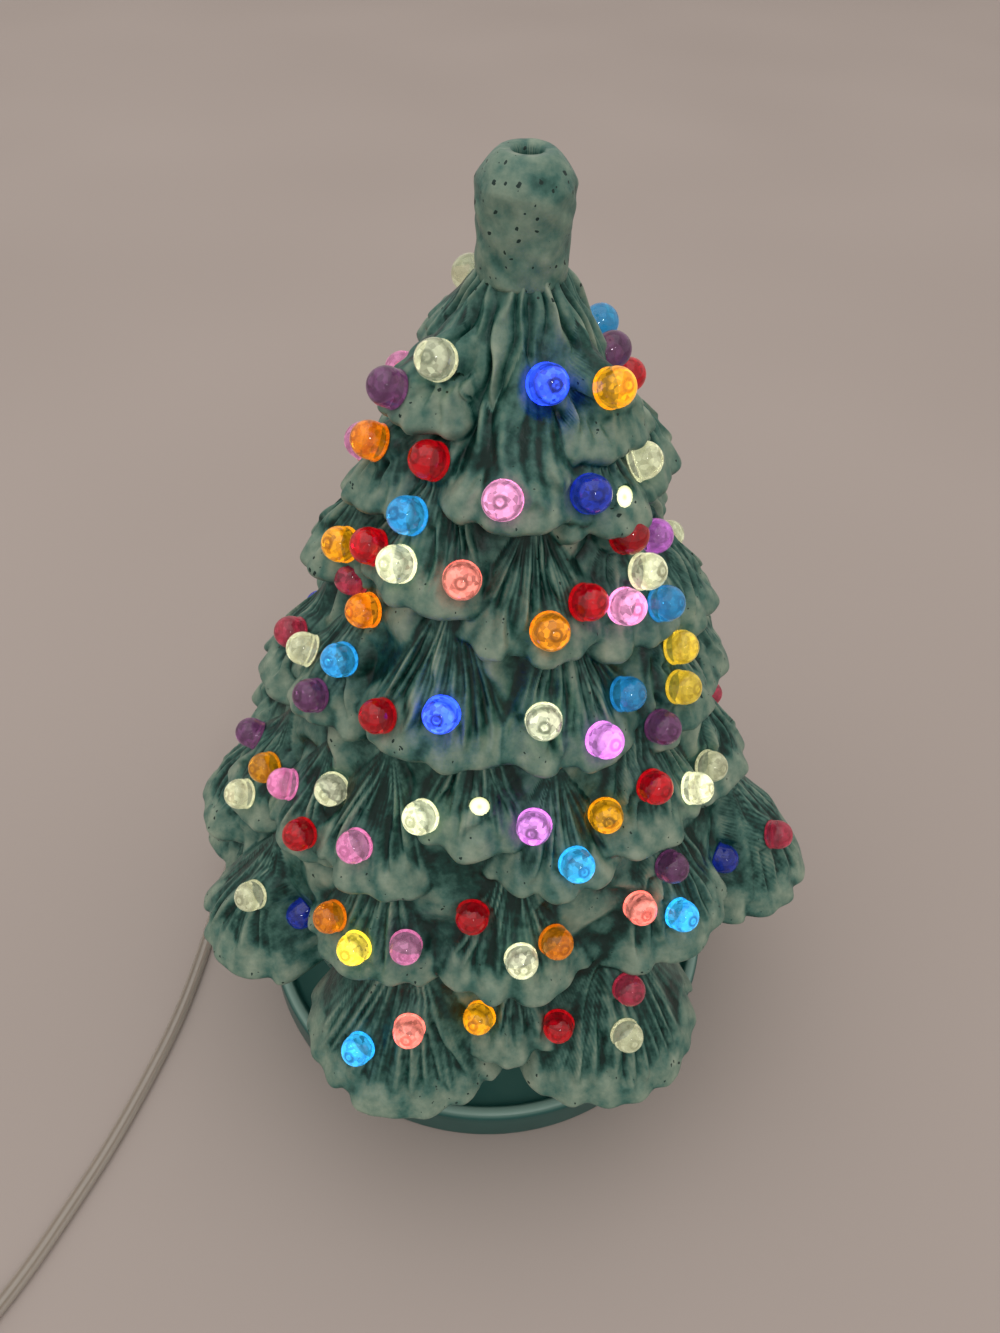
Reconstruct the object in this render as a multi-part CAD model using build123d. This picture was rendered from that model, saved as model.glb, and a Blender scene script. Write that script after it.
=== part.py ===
"""Lit ceramic Christmas tree: a hollow glazed casting with plug-in bulbs on a lamp base.

Millimetres, +Z up. The origin is the centre of the base's foot on the table. -Y faces the viewer,
+X is to the viewer's right. Azimuths are in degrees round the tree's axis: 0 faces the viewer and
90 is the viewer's right. Heights in the branch and bulb lists are above the tree's own foot.
"""

import math
import os

from build123d import *

# Base: a round dish with a pedestal in its middle, hollow and open underneath
base_radius = 90.0
base_wall = 5.0
rim_height = 17.0
rim_top_width = 5.0
rim_round = 1.8
rim_draft = 1.0
deck_height = 12.0
deck_cove = 8.0
neck_radius = 62.0
neck_height = 36.0
seat_height = 54.0
seat_radius = 77.0
seat_edge = 2.0
collar_height = 6.0
collar_chamfer = 1.0
plate_thickness = 5.5
cord_notch_width = 7.0
cord_notch_height = 6.0
cord_notch_azimuth = -150.0

# Tree casting
tree_height = 258.0
tree_wall = 5.0
tree_foot_radius = 76.0
tree_seat_clearance = 0.8
belly_height = 56.0
skirt_radius = 115.4
crown_radius = 27.0
crown_height = 226.0
branch_stand = 10.0
branch_slope = 32.0
bead_height = 6.5
bead_chamfer = 2.0
needle_pitch = 4.6
needle_depth = 1.2
needle_span = 112.0
needle_back = 6
stub_radius = 11.3
stub_length = 26.0
stub_root = 30.0
stub_wall = 5.3
star_bore_diameter = 6.4

# Bulbs: a dome on a pin
bulb_diameter = 9.5
bulb_height = 7.6
pin_diameter = 4.6
pin_tip_diameter = 4.0
pin_length = 10.0
pin_clearance = 0.12
bulb_seat_depth = 0.4
bulb_seat_margin = 0.3
bulb_clear_height = 14.0

# Clip-in lamp socket
sleeve_radius = 12.0
sleeve_length = 33.0
sleeve_clearance = 0.5
flange_radius = 15.5
flange_thickness = 2.2
flange_chamfer = 0.6
sleeve_chamfer = 1.0
shell_inner_diameter = 12.1
shell_wall = 0.5
shell_depth = 16.0
contact_radius = 3.0
contact_thickness = 0.8
contact_gap = 1.0
clip_width = 8.0
clip_thickness = 0.8
clip_spread = 5.0
clip_foot = 5.0
clip_gap = 0.3

# Candelabra lamp
cap_diameter = 11.92
cap_length = 14.0
cap_wall = 0.4
cap_floor = 2.0
cap_chamfer = 1.0
button_radius = 2.2
button_height = 1.0
insulator_height = 2.0
lamp_neck_radius = 5.2
lamp_belly_radius = 11.3
lamp_belly_height = 15.0
lamp_length = 39.0
lamp_glass_wall = 0.8
stem_radius = 2.4
stem_length = 13.0
wire_radius = 0.35
wire_length = 7.0
wire_root = 1.2
wire_spread = 3.2

# Flat twin cord, drawn as a round tube of the same girth
cord_diameter = 3.6
coil_pitch = 4.4
coil_layer_step = 4.3
coil_inner_radius = 11.0
coil_turns = 4
tie_width = 5.0
tie_thickness = 0.8
tie_clearance = 0.7

# Thumbwheel switch on the cord
switch_length = 46.0
switch_width = 22.0
switch_height = 12.2
switch_parting = 7.2
switch_corner = 4.0
switch_chamfer = 1.5
switch_floor = 1.4
wheel_radius = 6.2
wheel_thickness = 4.0
wheel_clearance = 0.4
axle_radius = 1.5
axle_clearance = 0.08
axle_wall = 3.0
axle_end_play = 0.2
wheel_grooves = 24
wheel_groove_radius = 0.4
switch_screw_radius = 1.5
switch_screw_head_radius = 2.8
switch_screw_head = 1.6
switch_screw_sink = 0.2
switch_screw_offset = 16.0

# Two-blade plug
plug_length = 27.0
plug_width = 24.0
plug_thickness = 14.8
plug_taper_length = 10.0
plug_tail_width = 11.0
plug_chamfer = 1.2
blade_length = 16.0
blade_width = 6.3
blade_thickness = 1.5
blade_spacing = 12.7
blade_root = 6.0

# Branches, tier by tier from the crown down: azimuth, hem height, lobe radius, extra reach
CROWN = [(-58, 202, 15, 0), (4, 186, 20, 0), (55, 198, 15, 0),
         (160, 202, 15, 0), (-108, 214, 9, -8), (-150, 204, 15, 0)]
SECOND = [(-62, 178, 15, 0), (44, 181, 17, 0), (82, 183, 16, 0), (138, 182, 17, -1),
          (178, 176, 17, 0), (-124, 182, 16, -4)]
THIRD = [(-75, 154, 17, 2), (-32, 163, 22, -1), (11, 155, 20, 0), (48, 150, 20, 0),
         (80, 140, 19, 1), (122, 158, 19, -3), (162, 152, 20, 0), (-156, 160, 20, 0),
         (-118, 156, 18, -3)]
FOURTH = [(-80, 108, 21, 2), (-55, 118, 20, 0), (-18, 125, 25, 0), (21, 125, 24, 0),
          (58, 118, 21, 0), (90, 110, 21, -1), (128, 124, 23, -2), (168, 118, 23, 0),
          (-154, 126, 23, 0), (-118, 118, 21, -3)]
FIFTH = [(-96, 72, 23, -2), (-70, 66, 22, 2), (-49, 76, 20, -1), (-29, 81, 24, 0),
         (-5, 100, 21, -2), (16, 88, 21, 0), (42, 93, 25, 1), (76, 82, 23, 0),
         (112, 84, 25, -3), (144, 88, 26, 0), (178, 82, 26, 0), (-150, 88, 26, 0),
         (-122, 80, 24, -3)]
SIXTH = [(-80, 44, 25, 5), (-56, 24, 27, 5), (-25, 52, 26, -1), (6, 54, 26, -1),
         (44, 51, 30, 1), (77, 33, 30, 11), (122, 44, 28, -2), (150, 50, 29, 0),
         (-176, 44, 29, 0), (-144, 50, 29, 0), (-112, 40, 28, -2)]
LOWEST = [(-17, 9, 34, 1), (6, 22, 18, -10), (29, 8, 35, 0), (114, 8, 33, -6), (150, 12, 33, -2),
          (-170, 8, 33, -2), (-132, 10, 33, -4), (-88, 12, 31, -4)]
TIERS = [CROWN, SECOND, THIRD, FOURTH, FIFTH, SIXTH, LOWEST]
BRANCHES = [branch for tier in TIERS for branch in tier]

# Bulbs on the side that faces the viewer: colour, then azimuth and height of each
BULBS = {
    "clear": [(-44, 218), (60, 193), (-34, 174), (48, 170), (12, 140), (-65, 76), (-43, 99),
              (-16, 108), (51, 103), (-52, 52), (7, 70), (27, 33), (-135, 224), (-63, 132), (65, 95)],
    "red": [(-35, 196), (-48, 172), (26, 167), (-30, 134), (-44, 86), (39, 113), (-3, 77), (16, 32),
            (46, 179)],
    "amber": [(48, 214), (-63, 166), (-64, 87), (28, 106), (0, 36)],
    "yellow": [(-25, 64), (58, 143), (54, 134)],
    "orange": [(13, 165), (-62, 195), (-50, 151), (14, 71), (-32, 66)],
    "azure": [(-36, 184), (51, 161), (-49, 139), (37, 138), (18, 100), (41, 68), (-21, 29), (134, 210)],
    "blue": [(20, 214), (31, 193), (-14, 141), (64, 56), (-45, 45)],
    "purple": [(-57, 210), (-51, 128), (46, 126), (42, 82), (106, 209), (-75, 86)],
    "violet": [(26, 134), (10, 109), (70, 168)],
    "pink": [(-2, 195), (39, 164), (-29, 96), (-16, 66), (-77, 188), (-54, 92)],
    "salmon": [(-14, 173), (34, 72), (-13, 39)],
    "rose": [(-74, 129), (73, 59), (29, 46), (-61, 155)],
}
EMPTY_HOLES = [(-3, 115), (44, 191)]

# Branches on the far side carry two bulbs each, in this order of colours
FAR_SIDE_AZIMUTH = 92.0
FAR_BULB_SPREAD = 0.55
FAR_BULB_LIFT = 0.30
FAR_BULB_STAGGER = 0.08
FAR_COLOURS = ["red", "clear", "azure", "amber", "purple", "pink", "orange", "blue", "rose", "clear",
               "yellow", "salmon", "violet"]

# Cord route on the table, chosen point by point from the notch to the switch
LEAD_ROUTE = [(-62.0, 103.0), (-84.0, 108.0), (-103.0, 92.0), (-112.0, 58.0), (-116.5, 17.0),
              (-117.5, -24.0), (-120.0, -52.0), (-125.0, -76.0), (-131.5, -101.0), (-139.0, -122.0),
              (-147.0, -143.0), (-157.0, -162.0)]
SWITCH_X = -166.0
SWITCH_NEAR_Y = -214.0
COIL_CENTRE_Y = -310.0

os.makedirs("parts", exist_ok=True)

crown_taper = (skirt_radius - crown_radius) / crown_height
slope = math.tan(math.radians(branch_slope))
base_top = seat_height + collar_height
collar_radius = tree_foot_radius - tree_wall - tree_seat_clearance
stub_base = tree_height - stub_length


def save(node, shape):
    """Write one node's solids to its file, with each edge's curve once, to keep the file small."""
    export_step(shape, f"parts/{node}.step", write_pcurves=False)


def turned(points):
    """The solid swept by an outline in the XZ half plane, turned once round Z."""
    return revolve(Plane.XZ * make_face(Polyline(*points, close=True)), axis=Axis.Z)


def outward(azimuth):
    """The level direction away from the axis at one azimuth."""
    angle = math.radians(azimuth)
    return Vector(math.sin(angle), -math.cos(angle), 0)


def tip_radius(height):
    """Radius of the cone that the branch tips lie on."""
    return skirt_radius - crown_taper * height


def core_radius(height):
    """Radius of the casting between its branches."""
    belly = tip_radius(belly_height) - branch_stand
    if height < belly_height:
        return tree_foot_radius + (belly - tree_foot_radius) * height / belly_height
    if height > stub_base - stub_root:
        root = tip_radius(stub_base - stub_root) - branch_stand
        share = min(1.0, (height - stub_base + stub_root) / stub_root)
        return root + (stub_radius - root) * share
    return tip_radius(height) - branch_stand


def branch_centre(branch):
    """The middle of a branch's hem circle, above the tree's foot."""
    azimuth, hem, lobe, reach = branch
    return outward(azimuth) * (tip_radius(hem) + reach - lobe) + Vector(0, 0, hem)


def branch_length(branch):
    """Height of a branch's point above its hem."""
    return bead_height + (branch[2] - bead_chamfer) / slope


def branch_bead(branch):
    """The thick bevelled bead round a branch's hem, with the disc that fills it."""
    lobe = branch[2]
    outline = [(0, 0), (lobe - bead_chamfer, 0), (lobe, bead_chamfer), (lobe, bead_height - bead_chamfer),
               (lobe - bead_chamfer, bead_height), (0, bead_height)]
    return Pos(*branch_centre(branch)) * turned(outline)


def branch_needles(branch):
    """The needles of one branch: a cone of straight ridges that run from its point down into its bead.

    Ridges cover the side that faces out, and plain facets close the cone towards the trunk.
    """
    peak = branch_length(branch)
    foot = bead_height - bead_chamfer
    middle = (peak - foot) * slope
    span = math.radians(needle_span)
    count = round(2 * span * middle / needle_pitch)
    turns = [span * (i / count - 1) for i in range(2 * count + 1)]
    turns += [span + 2 * (math.pi - span) * i / needle_back for i in range(1, needle_back)]
    facing = math.radians(branch[0] - 90)
    ring = []
    for i, turn in enumerate(turns):
        on_ridge = i % 2 == 1 and i < 2 * count
        radius = middle + (needle_depth if on_ridge else -needle_depth) / 2
        ring.append(Vector(radius * math.cos(facing + turn), radius * math.sin(facing + turn), foot))
    point = Vector(0, 0, peak)
    sides = [Face(Wire.make_polygon([near, far, point])) for near, far in zip(ring, ring[1:] + ring[:1])]
    return Pos(*branch_centre(branch)) * Solid(Shell(sides + [Face(Wire.make_polygon(ring))]))


def branch_hollow(branch):
    """The space inside one branch, a wall's thickness within it, or None where it is too small."""
    lobe = branch[2] - bead_chamfer
    peak = bead_height + lobe / slope - tree_wall / math.sin(math.radians(branch_slope))
    foot_radius = (peak - tree_wall) * slope
    centre = branch_centre(branch)
    centre_radius = math.hypot(centre.X, centre.Y)
    joins = centre_radius - foot_radius < core_radius(centre.Z + tree_wall) - 2 * tree_wall
    if foot_radius < tree_wall or not joins:
        return None
    outline = [(0, tree_wall), (foot_radius, tree_wall), (0.5, peak - 0.5 / slope), (0, peak - 0.5 / slope)]
    return Pos(*centre) * turned(outline)


def surface_point(azimuth, height):
    """The outermost point of the casting at an azimuth and height, and the way a pin there points.

    On a branch a pin points half way between square to the branch and away from the tree's axis.
    """
    way = outward(azimuth)
    radius = core_radius(height)
    lean = math.atan2(core_radius(height - 1) - core_radius(height + 1), 2)
    normal = way * math.cos(lean) + Vector(0, 0, math.sin(lean))
    for branch in BRANCHES:
        centre = branch_centre(branch)
        peak = branch_length(branch)
        above = height - centre.Z
        if not bead_height < above < peak:
            continue
        ring = (peak - above) * slope
        along = centre.X * way.X + centre.Y * way.Y
        aside = math.hypot(centre.X, centre.Y) ** 2 - along ** 2
        if ring ** 2 <= aside or along + math.sqrt(ring ** 2 - aside) <= radius:
            continue
        radius = along + math.sqrt(ring ** 2 - aside)
        flat = (way * radius - Vector(centre.X, centre.Y, 0)).normalized()
        level = (flat + way).normalized()
        rise = math.radians(branch_slope)
        normal = level * math.cos(rise) + Vector(0, 0, math.sin(rise))
    return way * radius + Vector(0, 0, height), normal


def bulb_place(azimuth, height):
    """Where a bulb's flat underside lies: just under the glaze, square to the surface."""
    point, normal = surface_point(azimuth, height)
    return Plane(origin=point - normal * bulb_seat_depth, z_dir=normal).location


def far_bulbs():
    """Colour, azimuth and height of each bulb on the far side's branches."""
    found = []
    for branch in BRANCHES:
        azimuth, hem, lobe, reach = branch
        if abs(azimuth) < FAR_SIDE_AZIMUTH or hem >= stub_base - stub_root:
            continue
        spread = math.degrees(FAR_BULB_SPREAD * lobe / (tip_radius(hem) + reach))
        for side in (-1, 1):
            colour = FAR_COLOURS[len(found) % len(FAR_COLOURS)]
            lift = (FAR_BULB_LIFT + side * FAR_BULB_STAGGER) * lobe / slope
            found.append((colour, azimuth + side * spread, hem + bead_height + lift))
    return found


def bulb_solid():
    """One bulb: a dome on a short drum, on a pin that tapers to its end."""
    head = bulb_diameter / 2
    drum = bulb_height - head
    with BuildSketch(Plane.XZ) as profile:
        with BuildLine():
            Polyline((0, bulb_height), (0, -pin_length), (pin_tip_diameter / 2, -pin_length),
                     (pin_diameter / 2, 0), (head, 0), (head, drum))
            CenterArc((0, drum), head, 0, 90)
        make_face()
    return revolve(profile.sketch, axis=Axis.Z)


def bulb_cutter():
    """The hole for one pin, with the flat that its bulb sits on."""
    hole = pin_diameter / 2 + pin_clearance
    seat = bulb_diameter / 2 + bulb_seat_margin
    depth = pin_length + tree_wall
    return turned([(0, -depth), (hole, -depth), (hole, 0), (seat, 0), (seat, bulb_clear_height),
                   (0, bulb_clear_height)])


def tree_core(inset):
    """The casting's trunk and top stub, or with an inset the space inside them."""
    top = tree_height - (stub_wall if inset else 0)
    stub = stub_radius - (stub_wall if inset else 0)
    rounding = stub / 2
    root = stub_base - stub_root
    outline = [(0, 0), (core_radius(0) - inset, 0), (core_radius(belly_height) - inset, belly_height),
               (core_radius(root) - inset, root), (stub, stub_base), (stub, top - rounding),
               (stub - rounding * 0.3, top - rounding * 0.3), (stub - rounding, top), (0, top)]
    return turned(outline)


def make_tree():
    """The glazed casting, hollow, with its branches, bulb holes and star socket; and the bulbs."""
    body = tree_core(0)
    inside = tree_core(tree_wall)
    for tier in TIERS:
        needles = [branch_needles(branch) for branch in tier]
        body = body.fuse(*needles, *[branch_bead(branch) for branch in tier])
        hollows = [branch_hollow(branch) for branch in tier]
        inside = inside.fuse(*[hollow for hollow in hollows if hollow is not None])
    star_bore = Pos(0, 0, tree_height) * Cylinder(star_bore_diameter / 2, 2 * stub_wall + 2)
    bulbs = {colour: [bulb_place(*spot) for spot in spots] for colour, spots in BULBS.items()}
    for colour, azimuth, height in far_bulbs():
        bulbs[colour].append(bulb_place(azimuth, height))
    cutter = bulb_cutter()
    shell = body - inside
    shell = shell.cut(star_bore, *[bulb_place(*spot) * cutter for spot in EMPTY_HOLES])
    for spots in bulbs.values():
        shell = shell.cut(*[place * cutter for place in spots])
    lift = Pos(0, 0, seat_height)
    save("tree_shell", lift * shell)
    bulb = bulb_solid()
    for colour, spots in bulbs.items():
        save(f"bulbs_{colour}", Compound(children=[lift * (place * bulb) for place in spots]))
    print("tree solids", len(shell.solids()), "bulbs", sum(len(spots) for spots in bulbs.values()))


def make_base():
    """The dish and pedestal, hollow from below, with the socket's hole and the cord's notch."""
    rim_inner = base_radius - rim_top_width
    outer = [(0, 0), (base_radius - rim_round, 0), (base_radius, rim_round),
             (base_radius, rim_height - rim_round), (base_radius - rim_round, rim_height),
             (rim_inner + rim_round, rim_height), (rim_inner, rim_height - rim_round),
             (rim_inner - rim_draft, deck_height), (neck_radius + deck_cove, deck_height),
             (neck_radius, deck_height + deck_cove), (neck_radius, neck_height),
             (seat_radius, seat_height - seat_edge), (seat_radius, seat_height),
             (collar_radius, seat_height), (collar_radius, base_top - collar_chamfer),
             (collar_radius - collar_chamfer, base_top), (0, base_top)]
    floor = deck_height - base_wall
    ceiling = base_top - plate_thickness
    neck = neck_radius - base_wall
    collar_inner = collar_radius - base_wall
    shoulder = neck_height + collar_radius - neck_radius
    inner = [(0, -base_wall), (base_radius - base_wall, -base_wall), (base_radius - base_wall, floor),
             (neck + deck_cove, floor), (neck, floor + deck_cove), (neck, neck_height),
             (collar_inner, shoulder), (collar_inner, ceiling), (0, ceiling)]
    hole = Pos(0, 0, base_top) * Cylinder(sleeve_radius + sleeve_clearance, 4 * plate_thickness)
    notch = Rot(0, 0, cord_notch_azimuth) * Box(cord_notch_width, 4 * base_wall, 2 * cord_notch_height)
    notch_place = Pos(*(outward(cord_notch_azimuth) * (base_radius - base_wall / 2)))
    save("base", turned(outer) - turned(inner) - hole - notch_place * notch)


def make_socket():
    """The clip-in socket: sleeve, brass screw shell, centre contact and two spring clips."""
    top = base_top + flange_thickness
    bottom = top - sleeve_length
    shell_outer = shell_inner_diameter / 2 + shell_wall
    shell_foot = top - shell_depth
    pocket = shell_foot - contact_thickness
    sleeve = [(0, bottom), (sleeve_radius - sleeve_chamfer, bottom), (sleeve_radius, bottom + sleeve_chamfer),
              (sleeve_radius, base_top), (flange_radius, base_top), (flange_radius, top - flange_chamfer),
              (flange_radius - flange_chamfer, top), (shell_outer, top), (shell_outer, shell_foot),
              (contact_radius, shell_foot), (contact_radius, pocket), (0, pocket)]
    save("socket_sleeve", turned(sleeve))
    lip = contact_radius + contact_gap
    shell = [(shell_inner_diameter / 2, top), (shell_outer, top), (shell_outer, shell_foot),
             (lip, shell_foot), (lip, shell_foot + shell_wall),
             (shell_inner_diameter / 2, shell_foot + shell_wall)]
    save("socket_screw_shell", turned(shell))
    contact = [(0, pocket), (contact_radius, pocket), (contact_radius, shell_foot), (0, shell_foot)]
    save("socket_contact", turned(contact))
    clip_top = base_top - plate_thickness - clip_gap
    clip_low = bottom + clip_foot
    clip_bend = clip_low + clip_foot
    clip_outer = sleeve_radius + clip_thickness
    strip = [(sleeve_radius, clip_low), (clip_outer, clip_low), (clip_outer, clip_bend),
             (clip_outer + clip_spread, clip_top), (sleeve_radius + clip_spread, clip_top),
             (sleeve_radius, clip_bend)]
    face = Plane.XZ * make_face(Polyline(*strip, close=True))
    clip = extrude(face, clip_width / 2, both=True)
    save("socket_clips", Compound(children=[clip, Rot(0, 0, 180) * clip]))
    return bottom, shell_foot


def make_lamp(contact_top):
    """The candelabra lamp: cap, insulator and button, glass envelope, stem and filament."""
    cap_foot = contact_top + button_height + insulator_height
    cap_top = cap_foot + cap_length
    cap_radius = cap_diameter / 2
    button_top = contact_top + button_height
    button = [(0, contact_top), (button_radius, contact_top), (button_radius, button_top), (0, button_top)]
    save("lamp_button", turned(button))
    insulator = [(0, button_top), (button_radius, button_top), (cap_radius - cap_chamfer, cap_foot),
                 (0, cap_foot)]
    save("lamp_insulator", turned(insulator))
    bore = cap_radius - cap_wall
    floor = cap_foot + cap_floor
    cap = [(0, cap_foot), (cap_radius - cap_chamfer, cap_foot), (cap_radius, cap_foot + cap_chamfer),
           (cap_radius, cap_top), (bore, cap_top), (bore, floor), (0, floor)]
    save("lamp_cap", turned(cap))
    belly_z = cap_top + lamp_belly_height
    tip_z = cap_top + lamp_length
    with BuildSketch(Plane.XZ) as glass:
        with BuildLine():
            outer = Spline((lamp_neck_radius, cap_top), (lamp_belly_radius, belly_z), (0, tip_z),
                           tangents=[(0.25, 1), (-1, 0)], tangent_scalars=[1, 1])
            inner = Spline((lamp_neck_radius - lamp_glass_wall, cap_top),
                           (lamp_belly_radius - lamp_glass_wall, belly_z), (0, tip_z - lamp_glass_wall),
                           tangents=[(0.25, 1), (-1, 0)], tangent_scalars=[1, 1])
            Line(outer @ 0, inner @ 0)
            Line(outer @ 1, inner @ 1)
        make_face()
    save("lamp_glass", revolve(glass.sketch, axis=Axis.Z))
    stem_top = cap_top + stem_length
    save("lamp_stem", turned([(0, floor), (stem_radius, floor), (stem_radius, stem_top), (0, stem_top)]))
    wires = []
    for side in (-1, 1):
        post = [(side * wire_root, 0, stem_top), (side * wire_spread, 0, stem_top + wire_length)]
        with BuildPart() as wire:
            with BuildLine():
                path = Polyline(*post)
            with BuildSketch(Plane(origin=path @ 0, z_dir=path % 0)):
                Circle(wire_radius)
            sweep()
        wires.append(wire.part)
    crossing = Pos(0, 0, stem_top + wire_length) * Rot(0, 90, 0) * Cylinder(wire_radius, 2 * wire_spread)
    save("lamp_filament", wires[0].fuse(wires[1], crossing))


def cord_tube(points, name):
    """A round tube through the points, each corner an arc as large as its two runs allow."""
    corners = [Vector(*point) for point in points]
    radii = []
    for before, here, after in zip(corners, corners[1:], corners[2:]):
        turn = math.radians((here - before).get_angle(after - here))
        radii.append(0.45 * min((here - before).length, (after - here).length) / math.tan(turn / 2))
    print(name, "radii", [round(radius, 1) for radius in radii])
    with BuildPart() as tube:
        with BuildLine():
            path = FilletPolyline(*corners, radius=radii)
        with BuildSketch(Plane(origin=path @ 0, z_dir=path % 0)):
            Circle(cord_diameter / 2)
        sweep()
    section = math.pi * cord_diameter ** 2 / 4
    share = tube.part.volume / (section * path.length)
    print(name, "length", round(path.length, 1), "volume share", round(share, 4))
    save(name, tube.part)
    return path.length


def make_coil(start, layer_z):
    """The spare cord: half turns that wind in, climb one layer and wind out again. Returns its far end."""
    half = coil_pitch / 2
    reach = coil_inner_radius + coil_turns * coil_pitch
    radii = [reach - half * step for step in range(2 * coil_turns)]
    climb = len(radii)
    radii += [coil_inner_radius + half * step for step in range(2 * coil_turns + 1)]
    x, z, side = start.X, layer_z, 1
    run_in = start + Vector(0, -cord_diameter, 0)
    edges = [Line(start, run_in)]
    points = []
    y = run_in.Y
    for step, radius in enumerate(radii):
        far_z = z + coil_layer_step if step == climb else z
        near = Vector(x, y, z)
        far = Vector(x + side * 2 * radius, y, far_z)
        middle = (near + far) * 0.5 + Vector(0, -side * radius, 0)
        edges.append(ThreePointArc(near, middle, far))
        points += [edges[-1] @ (i / 48) for i in range(48)]
        x, z, side = far.X, far_z, -side
    finish = Vector(x, y, z) + Vector(0, -side * cord_diameter, 0)
    edges.append(Line(Vector(x, y, z), finish))
    path = Wire(edges)
    least = min((a - b).length for i, a in enumerate(points) for b in points[i + 40:])
    print("coil length", round(path.length, 1), "least gap to itself", round(least - cord_diameter, 2))
    section = Plane(origin=start, z_dir=(0, -1, 0)) * Circle(cord_diameter / 2)
    coil = sweep(section, path=path)
    print("coil volume share", round(coil.volume / (math.pi * cord_diameter ** 2 / 4 * path.length), 4))
    save("cord_coil", coil)
    return finish, side, path.length, reach


def make_tie(centre_x, centre_y, layer_z, reach):
    """The band round the coil's turns, at the side away from the tree."""
    ring = cord_diameter / 2 + tie_clearance
    near = coil_inner_radius - ring
    far = reach + ring
    low = layer_z - ring
    high = layer_z + coil_layer_step + ring
    middle = Vector(centre_x, centre_y - (near + far) / 2, (low + high) / 2)
    inner = Box(3 * tie_width, far - near, high - low)
    outer = Box(tie_width, far - near + 2 * tie_thickness, high - low + 2 * tie_thickness)
    save("coil_tie", Pos(*middle) * (outer - inner))


def make_switch():
    """The thumbwheel switch: two housing halves, the wheel on its axle and one screw."""
    middle_y = SWITCH_NEAR_Y - switch_length / 2
    place = Pos(SWITCH_X, middle_y, 0)
    outline = RectangleRounded(switch_width, switch_length, switch_corner)
    lower = extrude(outline, switch_parting)
    upper = Pos(0, 0, switch_parting) * extrude(outline, switch_height - switch_parting)
    upper = chamfer(upper.faces().sort_by(Axis.Z)[-1].edges(), switch_chamfer)
    across = Pos(0, 0, switch_parting) * Rot(0, 90, 0)
    slot = across * Cylinder(wheel_radius + wheel_clearance, wheel_thickness + 2 * wheel_clearance)
    axle_length = switch_width - 2 * axle_wall
    axle_slot = across * Cylinder(axle_radius + axle_clearance, axle_length)
    head_z = switch_height - switch_screw_head
    screw_spot = Pos(0, switch_screw_offset, 0)
    hole = [(0, switch_floor), (switch_screw_radius, switch_floor), (switch_screw_radius, head_z),
            (switch_screw_head_radius, head_z), (switch_screw_head_radius, 2 * switch_height),
            (0, 2 * switch_height)]
    screw_hole = screw_spot * turned(hole)
    save("switch_lower", place * (lower - slot - axle_slot - screw_hole))
    save("switch_upper", place * (upper - slot - axle_slot - screw_hole))
    wheel = Rot(0, 90, 0) * Cylinder(wheel_radius, wheel_thickness)
    grooves = []
    for step in range(wheel_grooves):
        rim = Rot(360 * step / wheel_grooves, 0, 0) * Pos(0, 0, wheel_radius)
        grooves.append(rim * Rot(0, 90, 0) * Cylinder(wheel_groove_radius, 2 * wheel_thickness))
    axle = Rot(0, 90, 0) * Cylinder(axle_radius, axle_length - 2 * axle_end_play)
    save("switch_wheel", place * Pos(0, 0, switch_parting) * wheel.cut(*grooves).fuse(axle))
    head_top = switch_height - switch_screw_sink
    screw = [(0, switch_floor), (switch_screw_radius, switch_floor), (switch_screw_radius, head_z),
             (switch_screw_head_radius, head_z), (switch_screw_head_radius, head_top), (0, head_top)]
    save("switch_screw", place * screw_spot * turned(screw))


def make_plug(tail, way):
    """The two-blade plug lying flat: moulded body with a tapered tail, and its blades."""
    half_tail = plug_tail_width / 2
    half_body = plug_width / 2
    outline = [(-half_tail, 0), (half_tail, 0), (half_body, plug_taper_length), (half_body, plug_length),
               (-half_body, plug_length), (-half_body, plug_taper_length)]
    body = extrude(make_face(Polyline(*outline, close=True)), plug_thickness / 2, both=True)
    levels = body.faces().sort_by(Axis.Z)
    body = chamfer(levels[-1].edges() + levels[0].edges(), plug_chamfer)
    blades = []
    for side in (-1, 1):
        blade = Box(blade_thickness, blade_length + blade_root, blade_width)
        reach = plug_length + (blade_length - blade_root) / 2
        blades.append(Pos(side * blade_spacing / 2, reach, 0) * blade)
    spot = Pos(*tail) * Rot(0, 0, 0 if way > 0 else 180)
    save("plug_body", spot * body.cut(*blades))
    save("plug_blades", Compound(children=[spot * blade for blade in blades]))


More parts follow.
